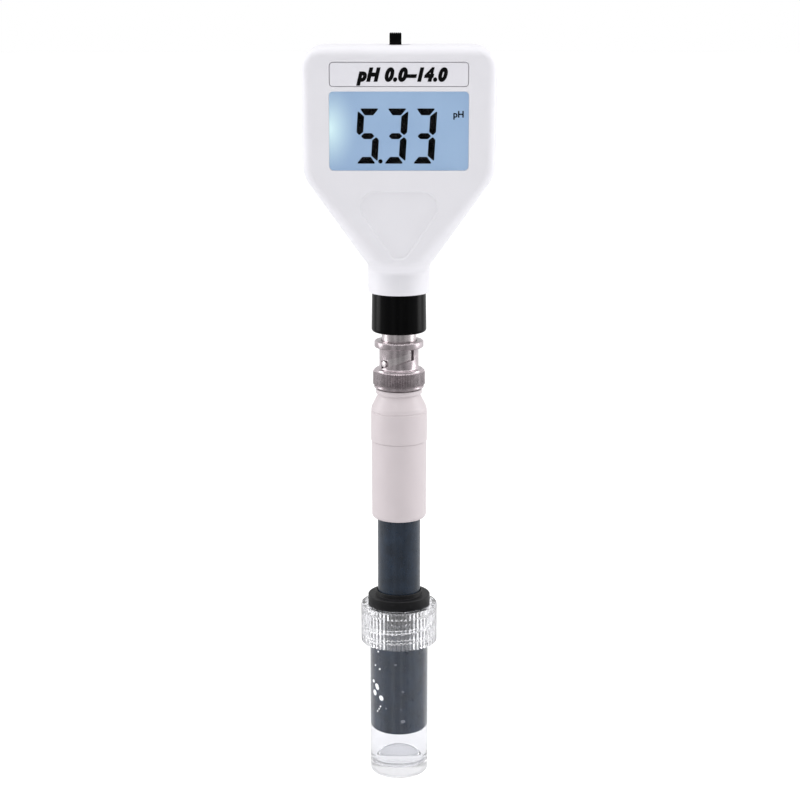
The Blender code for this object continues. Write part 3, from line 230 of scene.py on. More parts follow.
LOOKS = {
    "white_shell": finish("shell_white", linear(217, 216, 221), 0.42, tone=0.012,
                          grain_mm=0.22, grain_depth=0.004, Specular_IOR_Level=0.42),
    "label_film": finish("label_film", linear(218, 217, 223), 0.38, tone=0.01, grain_mm=0.5,
                         grain_depth=0.002),
    "lcd_glass": lcd_material(),
    "black_plastic": finish("black_satin", (0.0012, 0.0012, 0.0014), 0.22, tone=0.2,
                            vary=0.03, grain_mm=0.3, grain_depth=0.001,
                            Specular_IOR_Level=0.08),
    "diffuser": finish("milky_guide", (0.6, 0.75, 0.9), 0.35, Transmission_Weight=0.2),
    "elastomer": finish("zebra_rubber", (0.08, 0.08, 0.085), 0.75, stretch=(6, 1, 1),
                        tone=0.3, blotch_mm=1.0),
    "board_green": board_material(),
    "nickel": finish("nickel_plate", (0.64, 0.59, 0.605), 0.31, 1.0, tone=0.12, blotch_mm=2.0,
                     vary=0.07, grain_mm=0.16, grain_depth=0.0016, stretch=(0.35, 0.35, 2.2),
                     dirt=0.25),
    # A darker copy of the nickel plate, with its own dirt specks. The darkening is painted shade,
    # so the nut reads darker than the jack seen through its slots.
    "nickel_nut": finish("knurled_nickel", (0.54, 0.48, 0.505), 0.29, 1.0, tone=0.16,
                         blotch_mm=1.4, vary=0.08, grain_mm=0.16, grain_depth=0.002,
                         stretch=(0.35, 0.35, 2.2), dirt=0.35),
    "trimmer_blue": finish("trimmer_blue", (0.03, 0.12, 0.5), 0.38),
    "brass": finish("turned_brass", (0.72, 0.5, 0.2), 0.26, 1.0, tone=0.1, blotch_mm=1.2,
                    grain_mm=0.15, grain_depth=0.002, dirt=0.3),
    "steel": finish("zinc_steel", (0.56, 0.56, 0.58), 0.3, 1.0, tone=0.1, blotch_mm=1.6,
                    grain_mm=0.2, grain_depth=0.003, stretch=(1, 1, 4), dirt=0.2),
    "ptfe": finish("ptfe", (0.85, 0.85, 0.82), 0.5, Subsurface_Weight=0.1),
    "cap_white": finish("warm_white", linear(194, 185, 188), 0.42, tone=0.015, blotch_mm=7.0,
                        grain_mm=0.25, grain_depth=0.006, dirt=0.02, Specular_IOR_Level=0.6),
    "electrode_body": finish("blue_black", (0.0065, 0.016, 0.033), 0.34, tone=0.3,
                             blotch_mm=4.0, vary=0.1, grain_mm=0.5, grain_depth=0.004,
                             stretch=(1, 1, 0.4), Specular_IOR_Level=0.64),
    "electrode_glass": clear_material("blown_glass", (0.93, 0.97, 0.97, 1.0), 1.5),
    "ceramic": finish("porous_ceramic", (0.85, 0.83, 0.78), 0.8, grain_mm=0.12,
                      grain_depth=0.02, dirt=0.3),
    "silver": finish("chlorided_silver", (0.66, 0.64, 0.62), 0.35, 1.0, tone=0.25,
                     blotch_mm=1.5, dirt=0.5),
    "black_rubber": finish("black_rubber", (0.0045, 0.0045, 0.0055), 0.5, tone=0.3,
                           blotch_mm=3.0, vary=0.1, grain_mm=0.16, grain_depth=0.01, dirt=0.2,
                           Specular_IOR_Level=0.25),
    "clear_plastic": clear_material("clear_plastic", (0.89, 0.89, 0.905, 1.0), PLASTIC_IOR,
                                    worn=(False, 1.3, 0.4, 0.3, 0.6)),
    "wire_red": finish("wire_red", (0.5, 0.03, 0.02), 0.42),
    "wire_black": finish("wire_black", (0.015, 0.015, 0.015), 0.42),
}
HAZY = clear_material("hazy_styrene", (0.86, 0.86, 0.88, 1.0), PLASTIC_IOR, 0.1, clear=0.985,
                      worn=(True, 10.5, 10.75, 0.1, 0.88))
LENS = clear_material("acrylic_lens", (0.99, 0.995, 1.0, 1.0), 1.12, 0.01, 20.0, 0.0)
# The bottle's wetted faces bend the light once for wall and liquid, so the liquid's own sides
# don't bend it again.
WETTED = clear_material("clear_plastic_wetted", (0.895, 0.895, 0.91, 1.0),
                        PLASTIC_IOR / WATER_IOR, 0.0, 5.0, 0.0)
WATER = clear_material("storage_liquid", (0.985, 0.99, 1.0, 1.0), WATER_IOR, 0.0, 6.0, 0.0)
WATER_SIDE = clear_material("storage_liquid_side", (0.985, 0.99, 1.0, 1.0), 1.0, 0.0, 6.0, 0.0)

BUBBLE_PAINTED_LIGHT_EDGE = (-4.2, -2.7)  # mm across, from the bubbles with a painted glow to those with painted shade


def bubble_material():
    """Gas bubbles with a painted glow near the left wall and painted shade in front of the dark
    tube.
    """
    n = Look("bubble")
    painted_dimming = n.spread(n.place()[0], 0.0, 1.0, *[edge * MM for edge in BUBBLE_PAINTED_LIGHT_EDGE])
    # Painted light: white colour and a glow near the left wall, fading to dark painted shade
    # towards the tube.
    n.set(Base_Color=n.blend(painted_dimming, grey(1.0), (0.2, 0.21, 0.24, 1.0)),
          Emission_Color=n.blend(painted_dimming, grey(0.3), (0.02, 0.022, 0.026, 1.0)),
          Roughness=n.spread(n.noise(0.6), 0.02, 0.08), Emission_Strength=1.0,
          IOR=1 / WATER_IOR, Transmission_Weight=0.1)
    return n.material


BUBBLE = bubble_material()
INK = finish("black_print", (0.0015, 0.0015, 0.0018), 0.5, tone=0.3, grain_mm=0.4,
             grain_depth=0.0, Specular_IOR_Level=0.08)
SEGMENT = finish("lcd_segment", (0.001, 0.001, 0.0015), 0.6, tone=0.2, grain_mm=0.4,
                 grain_depth=0.0, Specular_IOR_Level=0.03)


# ======================= meshes =======================

def to_mesh(bm, name="scratch"):
    mesh = bpy.data.meshes.new(name)
    bm.to_mesh(mesh)
    bm.free()
    return mesh


def link_object(name, data):
    made = bpy.data.objects.new(name, data)
    bpy.context.collection.objects.link(made)
    return made


def face_out(bm):
    bmesh.ops.recalc_face_normals(bm, faces=bm.faces)


def resize(bm, factors):
    bmesh.ops.scale(bm, verts=bm.verts, vec=factors)


def shift(bm, vector):
    bmesh.ops.translate(bm, verts=bm.verts, vec=vector)


def spin(bm, degrees, axis="Z"):
    bmesh.ops.rotate(bm, verts=bm.verts, matrix=Matrix.Rotation(math.radians(degrees), 3, axis))


def shade(mesh, sharp):
    """Smooth shading, but for edges bent by more than sharp degrees."""
    mesh.shade_smooth()
    mesh.set_sharp_from_angle(angle=math.radians(sharp))


EVEN_WEIGHT, TOOL_SHARP = 80, 40


def shade_evenly(made):
    step = made.modifiers.new("even_shading", "WEIGHTED_NORMAL")
    step.keep_sharp = True
    step.weight = EVEN_WEIGHT


def piece(name, bm, look, body, *nodes, sharp=40.0, weighted=True, clean=True):
    """A finished object from millimetre geometry, riding on a body and standing for CAD nodes."""
    if clean:
        face_out(bm)
    resize(bm, METRES)
    mesh = to_mesh(bm, name)
    shade(mesh, sharp)
    made = link_object(name, mesh)
    slot = look if isinstance(look, str) else None
    mesh.materials.append(LOOKS[look] if slot else look)
    if weighted:
        shade_evenly(made)
    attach(made, body)
    if nodes:
        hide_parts(*nodes)
    return made


def cut(target, *bodies, operation="DIFFERENCE", sharp=32.0, overlapping=False):
    """Cuts closed bmesh bodies out of a piece, or adds them, and keeps the result."""
    joined = bmesh.new()
    for bm in bodies:
        merged(joined, bm)
    resize(joined, METRES)
    mesh = to_mesh(joined, "tool")
    shade(mesh, TOOL_SHARP)
    tool = link_object("tool", mesh)
    weighted = len(target.modifiers) > 0
    target.modifiers.clear()
    step = target.modifiers.new("cut", "BOOLEAN")
    step.operation = operation
    step.object = tool
    step.solver = "EXACT"
    step.use_self = overlapping
    graph = bpy.context.evaluated_depsgraph_get()
    result = bpy.data.meshes.new_from_object(target.evaluated_get(graph))
    target.modifiers.clear()
    old = target.data
    target.data = result
    shade(result, sharp)
    bpy.data.meshes.remove(old)
    bpy.data.objects.remove(tool, do_unlink=True)
    bpy.data.meshes.remove(mesh)
    if weighted:
        shade_evenly(target)
    return target


def rounded(points, radii, steps, closed=True):
    """A polygon with its corners rounded. An open one keeps its two end points."""
    count = len(points)
    result = []
    for i, (point, radius) in enumerate(zip(points, radii)):
        here = Vector(point)
        if radius == 0 or (not closed and i in (0, count - 1)):
            result.append(tuple(here))
            continue
        back = (Vector(points[i - 1]) - here).normalized()
        ahead = (Vector(points[(i + 1) % count]) - here).normalized()
        half = back.angle(ahead) / 2
        middle = here + (back + ahead).normalized() * (radius / math.sin(half))
        first = here + back * (radius / math.tan(half)) - middle
        swing = first.angle_signed(here + ahead * (radius / math.tan(half)) - middle)
        for k in range(steps + 1):
            result.append(tuple(middle + Matrix.Rotation(-swing * k / steps, 2) @ first))
    return result


def profile(*corners, steps=4, closed=True):
    """Points (radius, height) from corners (radius, height, rounding)."""
    return rounded([c[:2] for c in corners], [c[2] for c in corners], steps, closed)


AXES = {"Z": Matrix.Identity(3), "Y": Matrix.Rotation(-math.pi / 2, 3, "X"),
        "X": Matrix.Rotation(math.pi / 2, 3, "Y")}


def turned(points, segments=96, axis="Z", centre=(0, 0, 0), shape=None, bm=None):
    """A solid of revolution. shape(index, radius, height, angle) may change each radius."""
    made = bmesh.new()
    rings = []
    for index, (radius, height) in enumerate(points):
        if radius < TINY:
            rings.append([made.verts.new((0, 0, height))])
            continue
        ring = []
        for i in range(segments):
            a = TAU * i / segments
            r = shape(index, radius, height, a) if shape else radius
            ring.append(made.verts.new((r * math.cos(a), r * math.sin(a), height)))
        rings.append(ring)
    pairs = list(zip(rings, rings[1:]))
    if len(rings[0]) > 1:
        pairs.append((rings[-1], rings[0]))
    for low, high in pairs:
        if len(low) == 1 and len(high) == 1:
            continue
        for i in range(segments):
            j = (i + 1) % segments
            corners = [low[i % len(low)], low[j % len(low)],
                       high[j % len(high)], high[i % len(high)]]
            made.faces.new(list(dict.fromkeys(corners)))
    bmesh.ops.rotate(made, verts=made.verts, matrix=AXES[axis])
    shift(made, centre)
    return merged(bm, made) if bm else made


def merged(bm, other):
    """Adds a second closed body to the first."""
    face_out(other)
    scratch = to_mesh(other)
    bm.from_mesh(scratch)
    bpy.data.meshes.remove(scratch)
    return bm


def skin(bm, rings):
    """Faces between each ring of vertices and the next."""
    for low, high in zip(rings, rings[1:]):
        for k in range(len(low)):
            j = (k + 1) % len(low)
            bm.faces.new([low[k], low[j], high[j], high[k]])


def loft(rings):
    """A closed body through rings of points."""
    bm = bmesh.new()
    rings = [[bm.verts.new(point) for point in ring] for ring in rings]
    skin(bm, rings)
    bm.faces.new(rings[0])
    bm.faces.new(rings[-1])
    return bm


def outline_family(corners, radii, steps=6):
    """A function of distance that gives the outline grown by that much, corner for corner."""
    count = len(corners)

    def grown(distance):
        moved = []
        for i, corner in enumerate(corners):
            here = Vector(corner)
            back = (here - Vector(corners[i - 1])).normalized()
            ahead = (Vector(corners[(i + 1) % count]) - here).normalized()
            out_a, out_b = Vector((back.y, -back.x)), Vector((ahead.y, -ahead.x))
            both = (out_a + out_b).normalized()
            moved.append(tuple(here + both * (distance / both.dot(out_a))))
        return rounded(moved, [max(r + distance, 0.02) for r in radii], steps)

    return grown


def rectangle(x0, x1, z0, z1, radius, steps=6):
    return outline_family([(x0, z0), (x1, z0), (x1, z1), (x0, z1)], [radius] * 4, steps)


def circle(x, z, radius, steps=48):
    def grown(distance):
        r = radius + distance
        return [(x + r * math.cos(TAU * i / steps), z + r * math.sin(TAU * i / steps))
                for i in range(steps)]
    return grown


def chain(bm, family, levels):
    """Rings of one outline at (distance, y) levels, joined by faces."""
    rings = [[bm.verts.new((x, y, z)) for x, z in family(distance)] for distance, y in levels]
    skin(bm, rings)
    return rings


def edge_between(bm, a, b):
    return bm.edges.get((a, b)) or bm.edges.new((a, b))


def ring_edges(bm, ring):
    return [edge_between(bm, a, b) for a, b in zip(ring, ring[1:] + ring[:1])]


def fill(bm, edges):
    bmesh.ops.triangle_fill(bm, use_beauty=True, use_dissolve=False, edges=edges)


def quarter(steps):
    """(1 - sine, 1 - cosine) round a quarter turn: how far a rounding is from each face."""
    angles = [math.pi / 2 * i / steps for i in range(steps + 1)]
    return [(1 - math.sin(a), 1 - math.cos(a)) for a in angles]


def soft_levels(distance, y, radius, side, steps=4):
    """Levels round a convex edge, from flush with the face in to the opening's own wall."""
    return [(distance + radius * out, y - side * radius * deep) for out, deep in quarter(steps)]


def slab(family, y0, y1, soft=0.2, steps=3):
    """An outline given thickness along Y, with its edges rounded on both faces."""
    levels = [(-soft * out, y0 + soft * deep) for out, deep in quarter(steps)]
    levels += [(-soft * out, y1 - soft * deep) for out, deep in reversed(quarter(steps))]
    return loft([[(x, y, z) for x, z in family(distance)] for distance, y in levels])


def box_body(x0, x1, y0, y1, z0, z1):
    bm = bmesh.new()
    bmesh.ops.create_cube(bm, size=1.0)
    resize(bm, (x1 - x0, y1 - y0, z1 - z0))
    shift(bm, ((x0 + x1) / 2, (y0 + y1) / 2, (z0 + z1) / 2))
    return bm


def capsule(radius, x0, x1, y, z, segments=20):
    """A round-ended bar along X."""
    swings = [math.pi / 2 * i / 6 for i in range(7)]
    points = [(radius * math.sin(a), x0 - radius * math.cos(a)) for a in swings]
    points += [(radius * math.cos(a), x1 + radius * math.sin(a)) for a in swings]
    points[0], points[-1] = (0, x0 - radius), (0, x1 + radius)
    return turned(points, segments, "X", (0, y, z))


# ======================= head shells =======================

HEAD_TOP, SHOULDER_Z = 207.0, 173.3
HALF_WIDTH, HALF_WIDTH_LOW, HALF_DEPTH = 26.05, 25.66, 12.5
NECK_R, NECK_TOP_Z, NECK_BOTTOM_Z = 8.5, 148.67, 140.25
CHIN_Z, CHIN_END_Z, BLEND_Z = 149.3, 146.4, 156.0
EDGE_R, WALL, SEAM, SEAM_SOFT = 2.8, 1.9, 0.1, 0.18
WINDOW = (-18.4, 18.4, 174.55, 195.26)
LABEL = (-18.3, 18.3, 196.5, 202.9)
DOOR = (-13.2, 13.2, 171.6, 189.4)
SCREWS = ((-21.0, 200.4), (21.0, 200.4), (-9.6, 158.8), (9.6, 158.8))
TRIMMERS = (("trimmer_ph7", -6.0, 166.0), ("trimmer_slope", 6.0, 166.0))
DOOR_GAP, TRIMMER_HOLE_R = 0.3, 2.0
SWITCH_SLOT = (-2.83, 2.97, -2.0, 1.2, 203.2, 210.0)
NECK_LIP, NECK_EDGE_R = 1.2, 0.45  # the ledge under the neck, and its rounded edge
INNER_EDGE_R = 0.3
LEAST_STEP, CORNER_ROOM, FLAT_WITHIN = 0.02, 0.04, 0.001
POST_R, POST_START, LABEL_DEPTH = 2.75, 0.3, 0.85


def inset(points, distance):
    """An open outline moved inwards, with its corners where the moved lines meet."""
    lines = []
    for a, b in zip(points, points[1:]):
        along = (Vector(b) - Vector(a)).normalized()
        lines.append((Vector(a) + Vector((along.y, -along.x)) * distance, along))
    moved = [tuple(lines[0][0])]
    for (p, d), (q, e) in zip(lines, lines[1:]):
        reach = ((q - p).x * e.y - (q - p).y * e.x) / (d.x * e.y - d.y * e.x)
        moved.append(tuple(p + d * reach))
    start, along = lines[-1]
    moved.append(tuple(start + along * (Vector(points[-1]) - Vector(points[-2])).length))
    return moved


def value_at(outline, z):
    """The half-width of an outline at one height."""
    for (w0, z0), (w1, z1) in zip(outline, outline[1:]):
        if z1 <= z <= z0 and z0 > z1:
            return w0 + (w1 - w0) * (z0 - z) / (z0 - z1)
    return outline[-1][0]


def stations(removed):
    """Sections (z, half-width, half-depth, corner rounding), from top to bottom."""
    front = [(0, HEAD_TOP), (HALF_WIDTH, HEAD_TOP), (HALF_WIDTH_LOW, SHOULDER_Z),
             (NECK_R, NECK_TOP_Z), (NECK_R, NECK_BOTTOM_Z)]
    side = [(0, HEAD_TOP), (HALF_DEPTH, HEAD_TOP), (HALF_DEPTH, CHIN_Z),
            (NECK_R, CHIN_END_Z), (NECK_R, NECK_BOTTOM_Z)]
    front_r = [0, 6.0 - removed, 10.0 - removed, 3.5 + removed, 0]
    side_r = [0, 3.0 - removed, 2.5 - removed, 1.5 + removed, 0]
    if removed:
        front, side = inset(front, removed), inset(side, removed)
    else:
        for outline, radii in ((front, front_r), (side, side_r)):
            radii[-1] = NECK_EDGE_R
            outline.append((NECK_R - NECK_LIP, NECK_BOTTOM_Z))
            radii.append(0)
    front = rounded(front, front_r, 14, closed=False)[1:]
    side = rounded(side, side_r, 10, closed=False)[1:]
    heights = sorted({round(z, 3) for _, z in front + side}, reverse=True)
    kept = [heights[0]]
    for z in heights[1:]:
        if kept[-1] - z > LEAST_STEP or z == heights[-1]:
            kept.append(z)
    base = INNER_EDGE_R if removed else EDGE_R
    made = []
    for z in kept:
        width, depth = value_at(front, z), value_at(side, z)
        share = min(max((BLEND_Z - z) / (BLEND_Z - CHIN_END_Z), 0.0), 1.0)
        share = share * share * (3 - 2 * share)
        full = min(width, depth) - CORNER_ROOM
        made.append((z, width, depth, min(base + (NECK_R - removed - base) * share, full)))
    return made


def half_ring(width, depth, radius, soft, side, z, bm, steps=10):
    """One half section, from the seam on the right round to the seam on the left."""
    y0 = SEAM + soft
    centre_x, centre_y = width - radius, depth - radius
    inner = y0 - centre_y
    x = width if inner <= 0 else centre_x + math.sqrt(max(radius ** 2 - inner ** 2, 0))
    above = max(centre_y, y0 + 0.05) - centre_y
    start = math.asin(min(above / radius, 1.0))
    points = [(x - soft, SEAM), (x, y0)]
    for k in range(steps + 1):
        a = start + (math.pi / 2 - start) * k / steps
        points.append((centre_x + radius * math.cos(a), centre_y + radius * math.sin(a)))
    points += [(-x, y) for x, y in reversed(points)]
    return [bm.verts.new((x, side * y, z)) for x, y in points]


def half_shell(side, openings):
    """A closed half of the head. Each opening is (outline family, levels, reaches the inside)."""
    bm = bmesh.new()
    skins = {}
    starts, ends = [], []
    for family, levels, through in openings:
        rings = chain(bm, family, levels)
        starts.append(rings[0])
        if through:
            ends.append(rings[-1])
        else:
            bm.faces.new(rings[-1])
    for key, removed, soft, holes in (("outer", 0.0, SEAM_SOFT, starts),
                                      ("inner", WALL, 0.0, ends)):
        sections = stations(removed)
        flat = max(depth for _, _, depth, _ in sections)
        rings = [half_ring(w, d, r, soft, side, z, bm) for z, w, d, r in sections]
        is_flat = [abs(d - flat) < FLAT_WITHIN for _, _, d, _ in sections]
        count = len(rings[0])
        middle = count // 2 - 1
        boundary = []
        for k, (high, low) in enumerate(zip(rings, rings[1:])):
            for i in range(count - 1):
                if i == middle and is_flat[k] and is_flat[k + 1]:
                    boundary += [edge_between(bm, high[j], low[j]) for j in (i, i + 1)]
                    continue
                bm.faces.new([high[i], high[i + 1], low[i + 1], low[i]])
        flats = [k for k, f in enumerate(is_flat) if f]
        for k in (flats[0], flats[-1]):
            boundary.append(bm.edges.get((rings[k][middle], rings[k][middle + 1])))
        for ring in holes:
            boundary += ring_edges(bm, ring)
        fill(bm, boundary)
        bm.faces.new(rings[0])
        skins[key] = rings
    outer, inner = skins["outer"], skins["inner"]
    for i in range(len(outer[-1]) - 1):
        bm.faces.new([outer[-1][i], outer[-1][i + 1], inner[-1][i + 1], inner[-1][i]])
    rim = []
    for rings in (outer, inner):
        for end in (0, -1):
            for high, low in zip(rings, rings[1:]):
                rim.append(bm.edges.get((high[end], low[end])))
        rim.append(bm.edges.get((rings[0][0], rings[0][-1])))
    for end in (0, -1):
        rim.append(bm.edges.get((outer[-1][end], inner[-1][end])))
    fill(bm, rim)
    return bm


def make_head():
    face, inside = -HALF_DEPTH, -(HALF_DEPTH - WALL)
    window = rectangle(*WINDOW, 1.1)
    label = rectangle(*LABEL, 1.0)
    grip = outline_family([(-13.9, 169.0), (0.0, 148.4), (13.9, 169.0)], [4.2, 3.2, 4.2], 14)
    front = half_shell(-1, [
        (window, soft_levels(0.0, face, 0.3, -1) + [(0.0, inside)], True),
        (label, soft_levels(0.0, face, 0.22, -1) + [(0.0, face + LABEL_DEPTH)], False),
        (grip, [(0.34, face), (0.22, face + 0.03), (0.14, face + 0.08), (-0.16, face + 0.36),
                (-0.24, face + 0.4), (-0.4, face + 0.42)], False),
    ])
    shell = piece("head_front_shell", front, "white_shell", "head", "front_shell")
    cut(shell, box_body(*SWITCH_SLOT))

    back, inner = HALF_DEPTH, HALF_DEPTH - WALL
    x0, x1, z0, z1 = DOOR
    doorway = rectangle(x0 - DOOR_GAP, x1 + DOOR_GAP, z0 - DOOR_GAP, z1 + DOOR_GAP, 0.25, 3)
    openings = [(doorway, soft_levels(0.0, back, 0.2, 1) + [(0.0, inner)], True)]
    for _, x, z in TRIMMERS:
        openings.append((circle(x, z, TRIMMER_HOLE_R),
                         soft_levels(0.0, back, 0.3, 1) + [(0.0, inner)], True))
    rear = piece("head_rear_shell", half_shell(1, openings), "white_shell", "head", "rear_shell")
    post_end = inner + WALL / 2
    post = [(0, POST_START), (POST_R, POST_START), (POST_R, post_end), (0, post_end)]
    hole = [(0, 0.0), (1.3, 0.0), (1.3, 10.0), (2.4, 10.0), (2.4, back - 0.25), (2.43, back - 0.12),
            (2.51, back - 0.04), (2.65, back), (2.8, back + 1.0), (0, back + 1.0)]
    cut(rear, *[turned(post, 48, "Y", (x, 0, z)) for x, z in SCREWS], operation="UNION")
    cut(rear, *[turned(hole, 48, "Y", (x, 0, z)) for x, z in SCREWS])
    cut(rear, box_body(*SWITCH_SLOT))


# ======================= display and label =======================

DIGITS = ((-11.73, "acdfg"), (-4.38, "abcdg"), (3.22, "abcdg"))
DIGIT_W, DIGIT_Z, DIGIT_H, DIGIT_T = 6.04, 176.28, 14.5, 1.78
DIGIT_SLANT = 0.062
SEGMENT_Y = (-10.42, -10.36)
LCD_CELL = (-19.4, 19.4, 173.6, 196.2)


def segment_outlines():
    """The seven bars of a digit, in a box of DIGIT_W by DIGIT_H."""
    w, h, t = DIGIT_W, DIGIT_H, DIGIT_T
    m, e = 0.52, 0.24  # the mitre at the outer corners, and the gap between bars
    mid, half = h / 2, 0.78
    top = [(m, h), (w - m, h), (w - t - 0.12, h - t), (t + 0.12, h - t)]
    bottom = [(t + 0.12, t), (w - t - 0.12, t), (w - m, 0), (m, 0)]
    centre = [(t * 0.55 + e, mid), (t + e, mid + half), (w - t - e, mid + half),
              (w - t * 0.55 - e, mid), (w - t - e, mid - half), (t + e, mid - half)]
    upper_right = [(w, h - m - 0.1), (w - t, h - t - m + 0.22), (w - t, mid + half + e + 0.05),
                   (w - t * 0.42, mid + e), (w, mid + half + e)]
    flip_x = [(w - x, z) for x, z in reversed(upper_right)]
    return {"a": top, "d": bottom, "g": centre, "b": upper_right, "f": flip_x,
            "c": [(x, h - z) for x, z in reversed(upper_right)],
            "e": [(x, h - z) for x, z in reversed(flip_x)]}


def make_display():
    x0, x1, z0, z1 = LABEL
    plate = rectangle(x0 + 0.15, x1 - 0.15, z0 + 0.15, z1 - 0.15, 0.85)
    piece("label_panel", slab(plate, -12.45, -11.95, 0.08), "label_film", "head", "label_plate")

    x0, x1, z0, z1 = WINDOW
    pane = rectangle(x0 + 0.12, x1 - 0.12, z0 + 0.12, z1 - 0.12, 1.0)
    piece("window_pane", slab(pane, -12.25, -10.95, 0.12), LENS, "head", "display_window")

    piece("lcd_cell", slab(rectangle(*LCD_CELL, 0.3), -10.3, -7.9, 0.1), "lcd_glass", "head",
          "lcd_glass")

    bars = bmesh.new()
    outlines = segment_outlines()
    for x_start, letters in DIGITS:
        for letter in letters:
            points = rounded(outlines[letter], [0.2] * len(outlines[letter]), 3)
            if sum(a[0] * b[1] - b[0] * a[1] for a, b in zip(points, points[1:] + points[:1])) < 0:
                points = points[::-1]
            merged(bars, loft([[(x_start + x + DIGIT_SLANT * z, y, DIGIT_Z + z)
                                for x, z in points] for y in SEGMENT_Y]))
    merged(bars, slab(circle(-4.91, DIGIT_Z + 0.6, 0.58, 24), *SEGMENT_Y, 0.01))
    piece("lcd_digits", bars, SEGMENT, "head", clean=False)

    text_piece("lcd_unit", "pH", 14.35, 188.45, -10.36, 2.35, SEGMENT, extrude=0.02, bold=0.07,
               width=2.75)
    text_piece("label_print", "pH 0.0–14.0", -11.2, 198.15, -12.45, 4.45, INK,
               extrude=0.015, shear=0.26, bold=0.27, width=24.0, spacing=1.16,
               bevel=0.06)


def text_piece(name, words, x, z, y, size, look, extrude, shear=0.0, bold=0.0, width=None,
               spacing=1.0, bevel=0.0):
    """Printed characters standing just proud of a face that looks along -Y."""
    curve = bpy.data.curves.new(name, "FONT")
    curve.body = words
    curve.size = size
    curve.shear = shear
    curve.extrude = extrude
    curve.offset = bold
    curve.bevel_depth = bevel
    curve.bevel_resolution = 1
    curve.space_character = spacing
    holder = link_object(name + "_text", curve)
    graph = bpy.context.evaluated_depsgraph_get()
    mesh = bpy.data.meshes.new_from_object(holder.evaluated_get(graph))
    bpy.data.objects.remove(holder, do_unlink=True)
    bm = bmesh.new()
    bm.from_mesh(mesh)
    bpy.data.meshes.remove(mesh)
    bmesh.ops.remove_doubles(bm, verts=bm.verts, dist=1e-4)
    left = min(v.co.x for v in bm.verts)
    right = max(v.co.x for v in bm.verts)
    factor = width / (right - left) if width else 1.0
    for v in bm.verts:
        px, pz, depth = (v.co.x - left) * factor, v.co.y, v.co.z
        v.co = Vector((x + px, y - extrude - depth, z + pz))
    return piece(name, bm, look, "head")


# ======================= switch, trimmers, screws, door, cells =======================

def make_switch():
    """A ribbed black slider."""
    x0, x1, y0, y1, z0, z1 = -2.53, 0.67, -1.7, 0.9, 201.4, 210.2
    points = [(x0, z0), (x1, z0), (x1, z1 - 0.25), (x1 - 0.25, z1)]
    ribs = 5
    pitch = (x1 - x0 - 0.5) / ribs
    for k in range(ribs):
        start = x1 - 0.25 - k * pitch
        points += [(start - pitch * 0.38, z1), (start - pitch * 0.5, z1 - 0.22),
                   (start - pitch * 0.62, z1 - 0.22), (start - pitch * 0.76, z1)]
    points += [(x0 + 0.25, z1), (x0, z1 - 0.25)]
    bevel = 0.12
    mid_x, mid_z = (x0 + x1) / 2, (z0 + z1) / 2
    rings = []
    for y, shrink in ((y0, bevel), (y0 + bevel, 0.0), (y1 - bevel, 0.0), (y1, bevel)):
        sx, sz = 1 - 2 * shrink / (x1 - x0), 1 - 2 * shrink / (z1 - z0)
        rings.append([(mid_x + (x - mid_x) * sx, y, mid_z + (z - mid_z) * sz) for x, z in points])
    piece("switch_slider", loft(rings), "black_plastic", "power_switch", "switch_knob", sharp=30)


def make_trimmers():
    for name, x, z in TRIMMERS:
        points = profile((0, -0.7, 0), (1.5, -0.7, 0.1), (1.5, 11.6, 0.18), (0, 11.6, 0),
                         closed=False)
        made = piece(name + "_screw", turned(points, 48, "Y", (x, 0, z)), "brass", name,
                     name + "_adjuster")
        cut(made, box_body(x - 3, x + 3, 10.9, 12.5, z - 0.25, z + 0.25))


def make_case_screws():
    for number, (x, z) in enumerate(SCREWS, 1):
        points = [(0, -7.0), (0.35, -6.6), (0.95, -5.8)]
        y = -5.8
        while y < 9.2:
            points += [(0.95, y + 0.25), (0.78, y + 0.45), (0.95, y + 0.65)]
            y += 0.7
        points += profile((0.9, 10.3, 0), (2.1, 10.3, 0.15), (2.1, 11.35, 0.55), (1.2, 11.9, 0.3),
                          (0, 11.9, 0), closed=False)
        made = piece("screw_%d" % number, turned(points, 40, "Y", (x, 0, z)), "steel", "head",
                     "case_screw_%d" % number)
        tools = []
        for half_x, half_z in ((1.25, 0.24), (0.24, 1.25)):
            bar = box_body(-half_x, half_x, 11.0, 13.0, -half_z, half_z)
            spin(bar, 17 * number, "Y")
            shift(bar, (x, 0, z))
            tools.append(bar)
        cut(made, *tools, overlapping=True)


def make_door():
    """Battery door: rounded hinge edge, finger grooves, snap tongue and pintles."""
    hinge_y, hinge_z, half = 11.7, 172.4, 0.8
    x0, x1, _, top = DOOR
    outline = [(hinge_y - half, top), (hinge_y + half - 0.2, top), (hinge_y + half, top - 0.2),
               (hinge_y + half, hinge_z)]
    for step in range(1, 16):
        a = math.pi * step / 16
        outline.append((hinge_y + half * math.cos(a), hinge_z - half * math.sin(a)))
    outline.append((hinge_y - half, hinge_z))
    bevel = 0.15
    mid_z = (top + hinge_z) / 2
    rings = []
    for x, shrink in ((x0, bevel), (x0 + bevel, 0.0), (x1 - bevel, 0.0), (x1, bevel)):
        sy, sz = 1 - shrink / half, 1 - shrink / 9
        rings.append([(x, hinge_y + (y - hinge_y) * sy, mid_z + (z - mid_z) * sz)
                      for y, z in outline])
    bm = loft(rings)
    for start, end in ((x1 - 0.5, x1 + 0.7), (x0 - 0.7, x0 + 0.5)):
        pin = profile((0, start, 0), (0.4, start, 0.08), (0.4, end, 0.08), (0, end, 0),
                      closed=False)
        merged(bm, turned(pin, 24, "X", (0, hinge_y, hinge_z)))
    merged(bm, box_body(-3.0, 3.0, 9.2, hinge_y, top - 1.4, top - 0.6))
    door = piece("battery_cover", bm, "white_shell", "battery_door", "battery_door", sharp=35)
    grooves = [capsule(0.42, -4.2, 4.2, 12.62, top - 3.2 - 1.5 * k) for k in range(4)]
    cut(door, *grooves, overlapping=True)


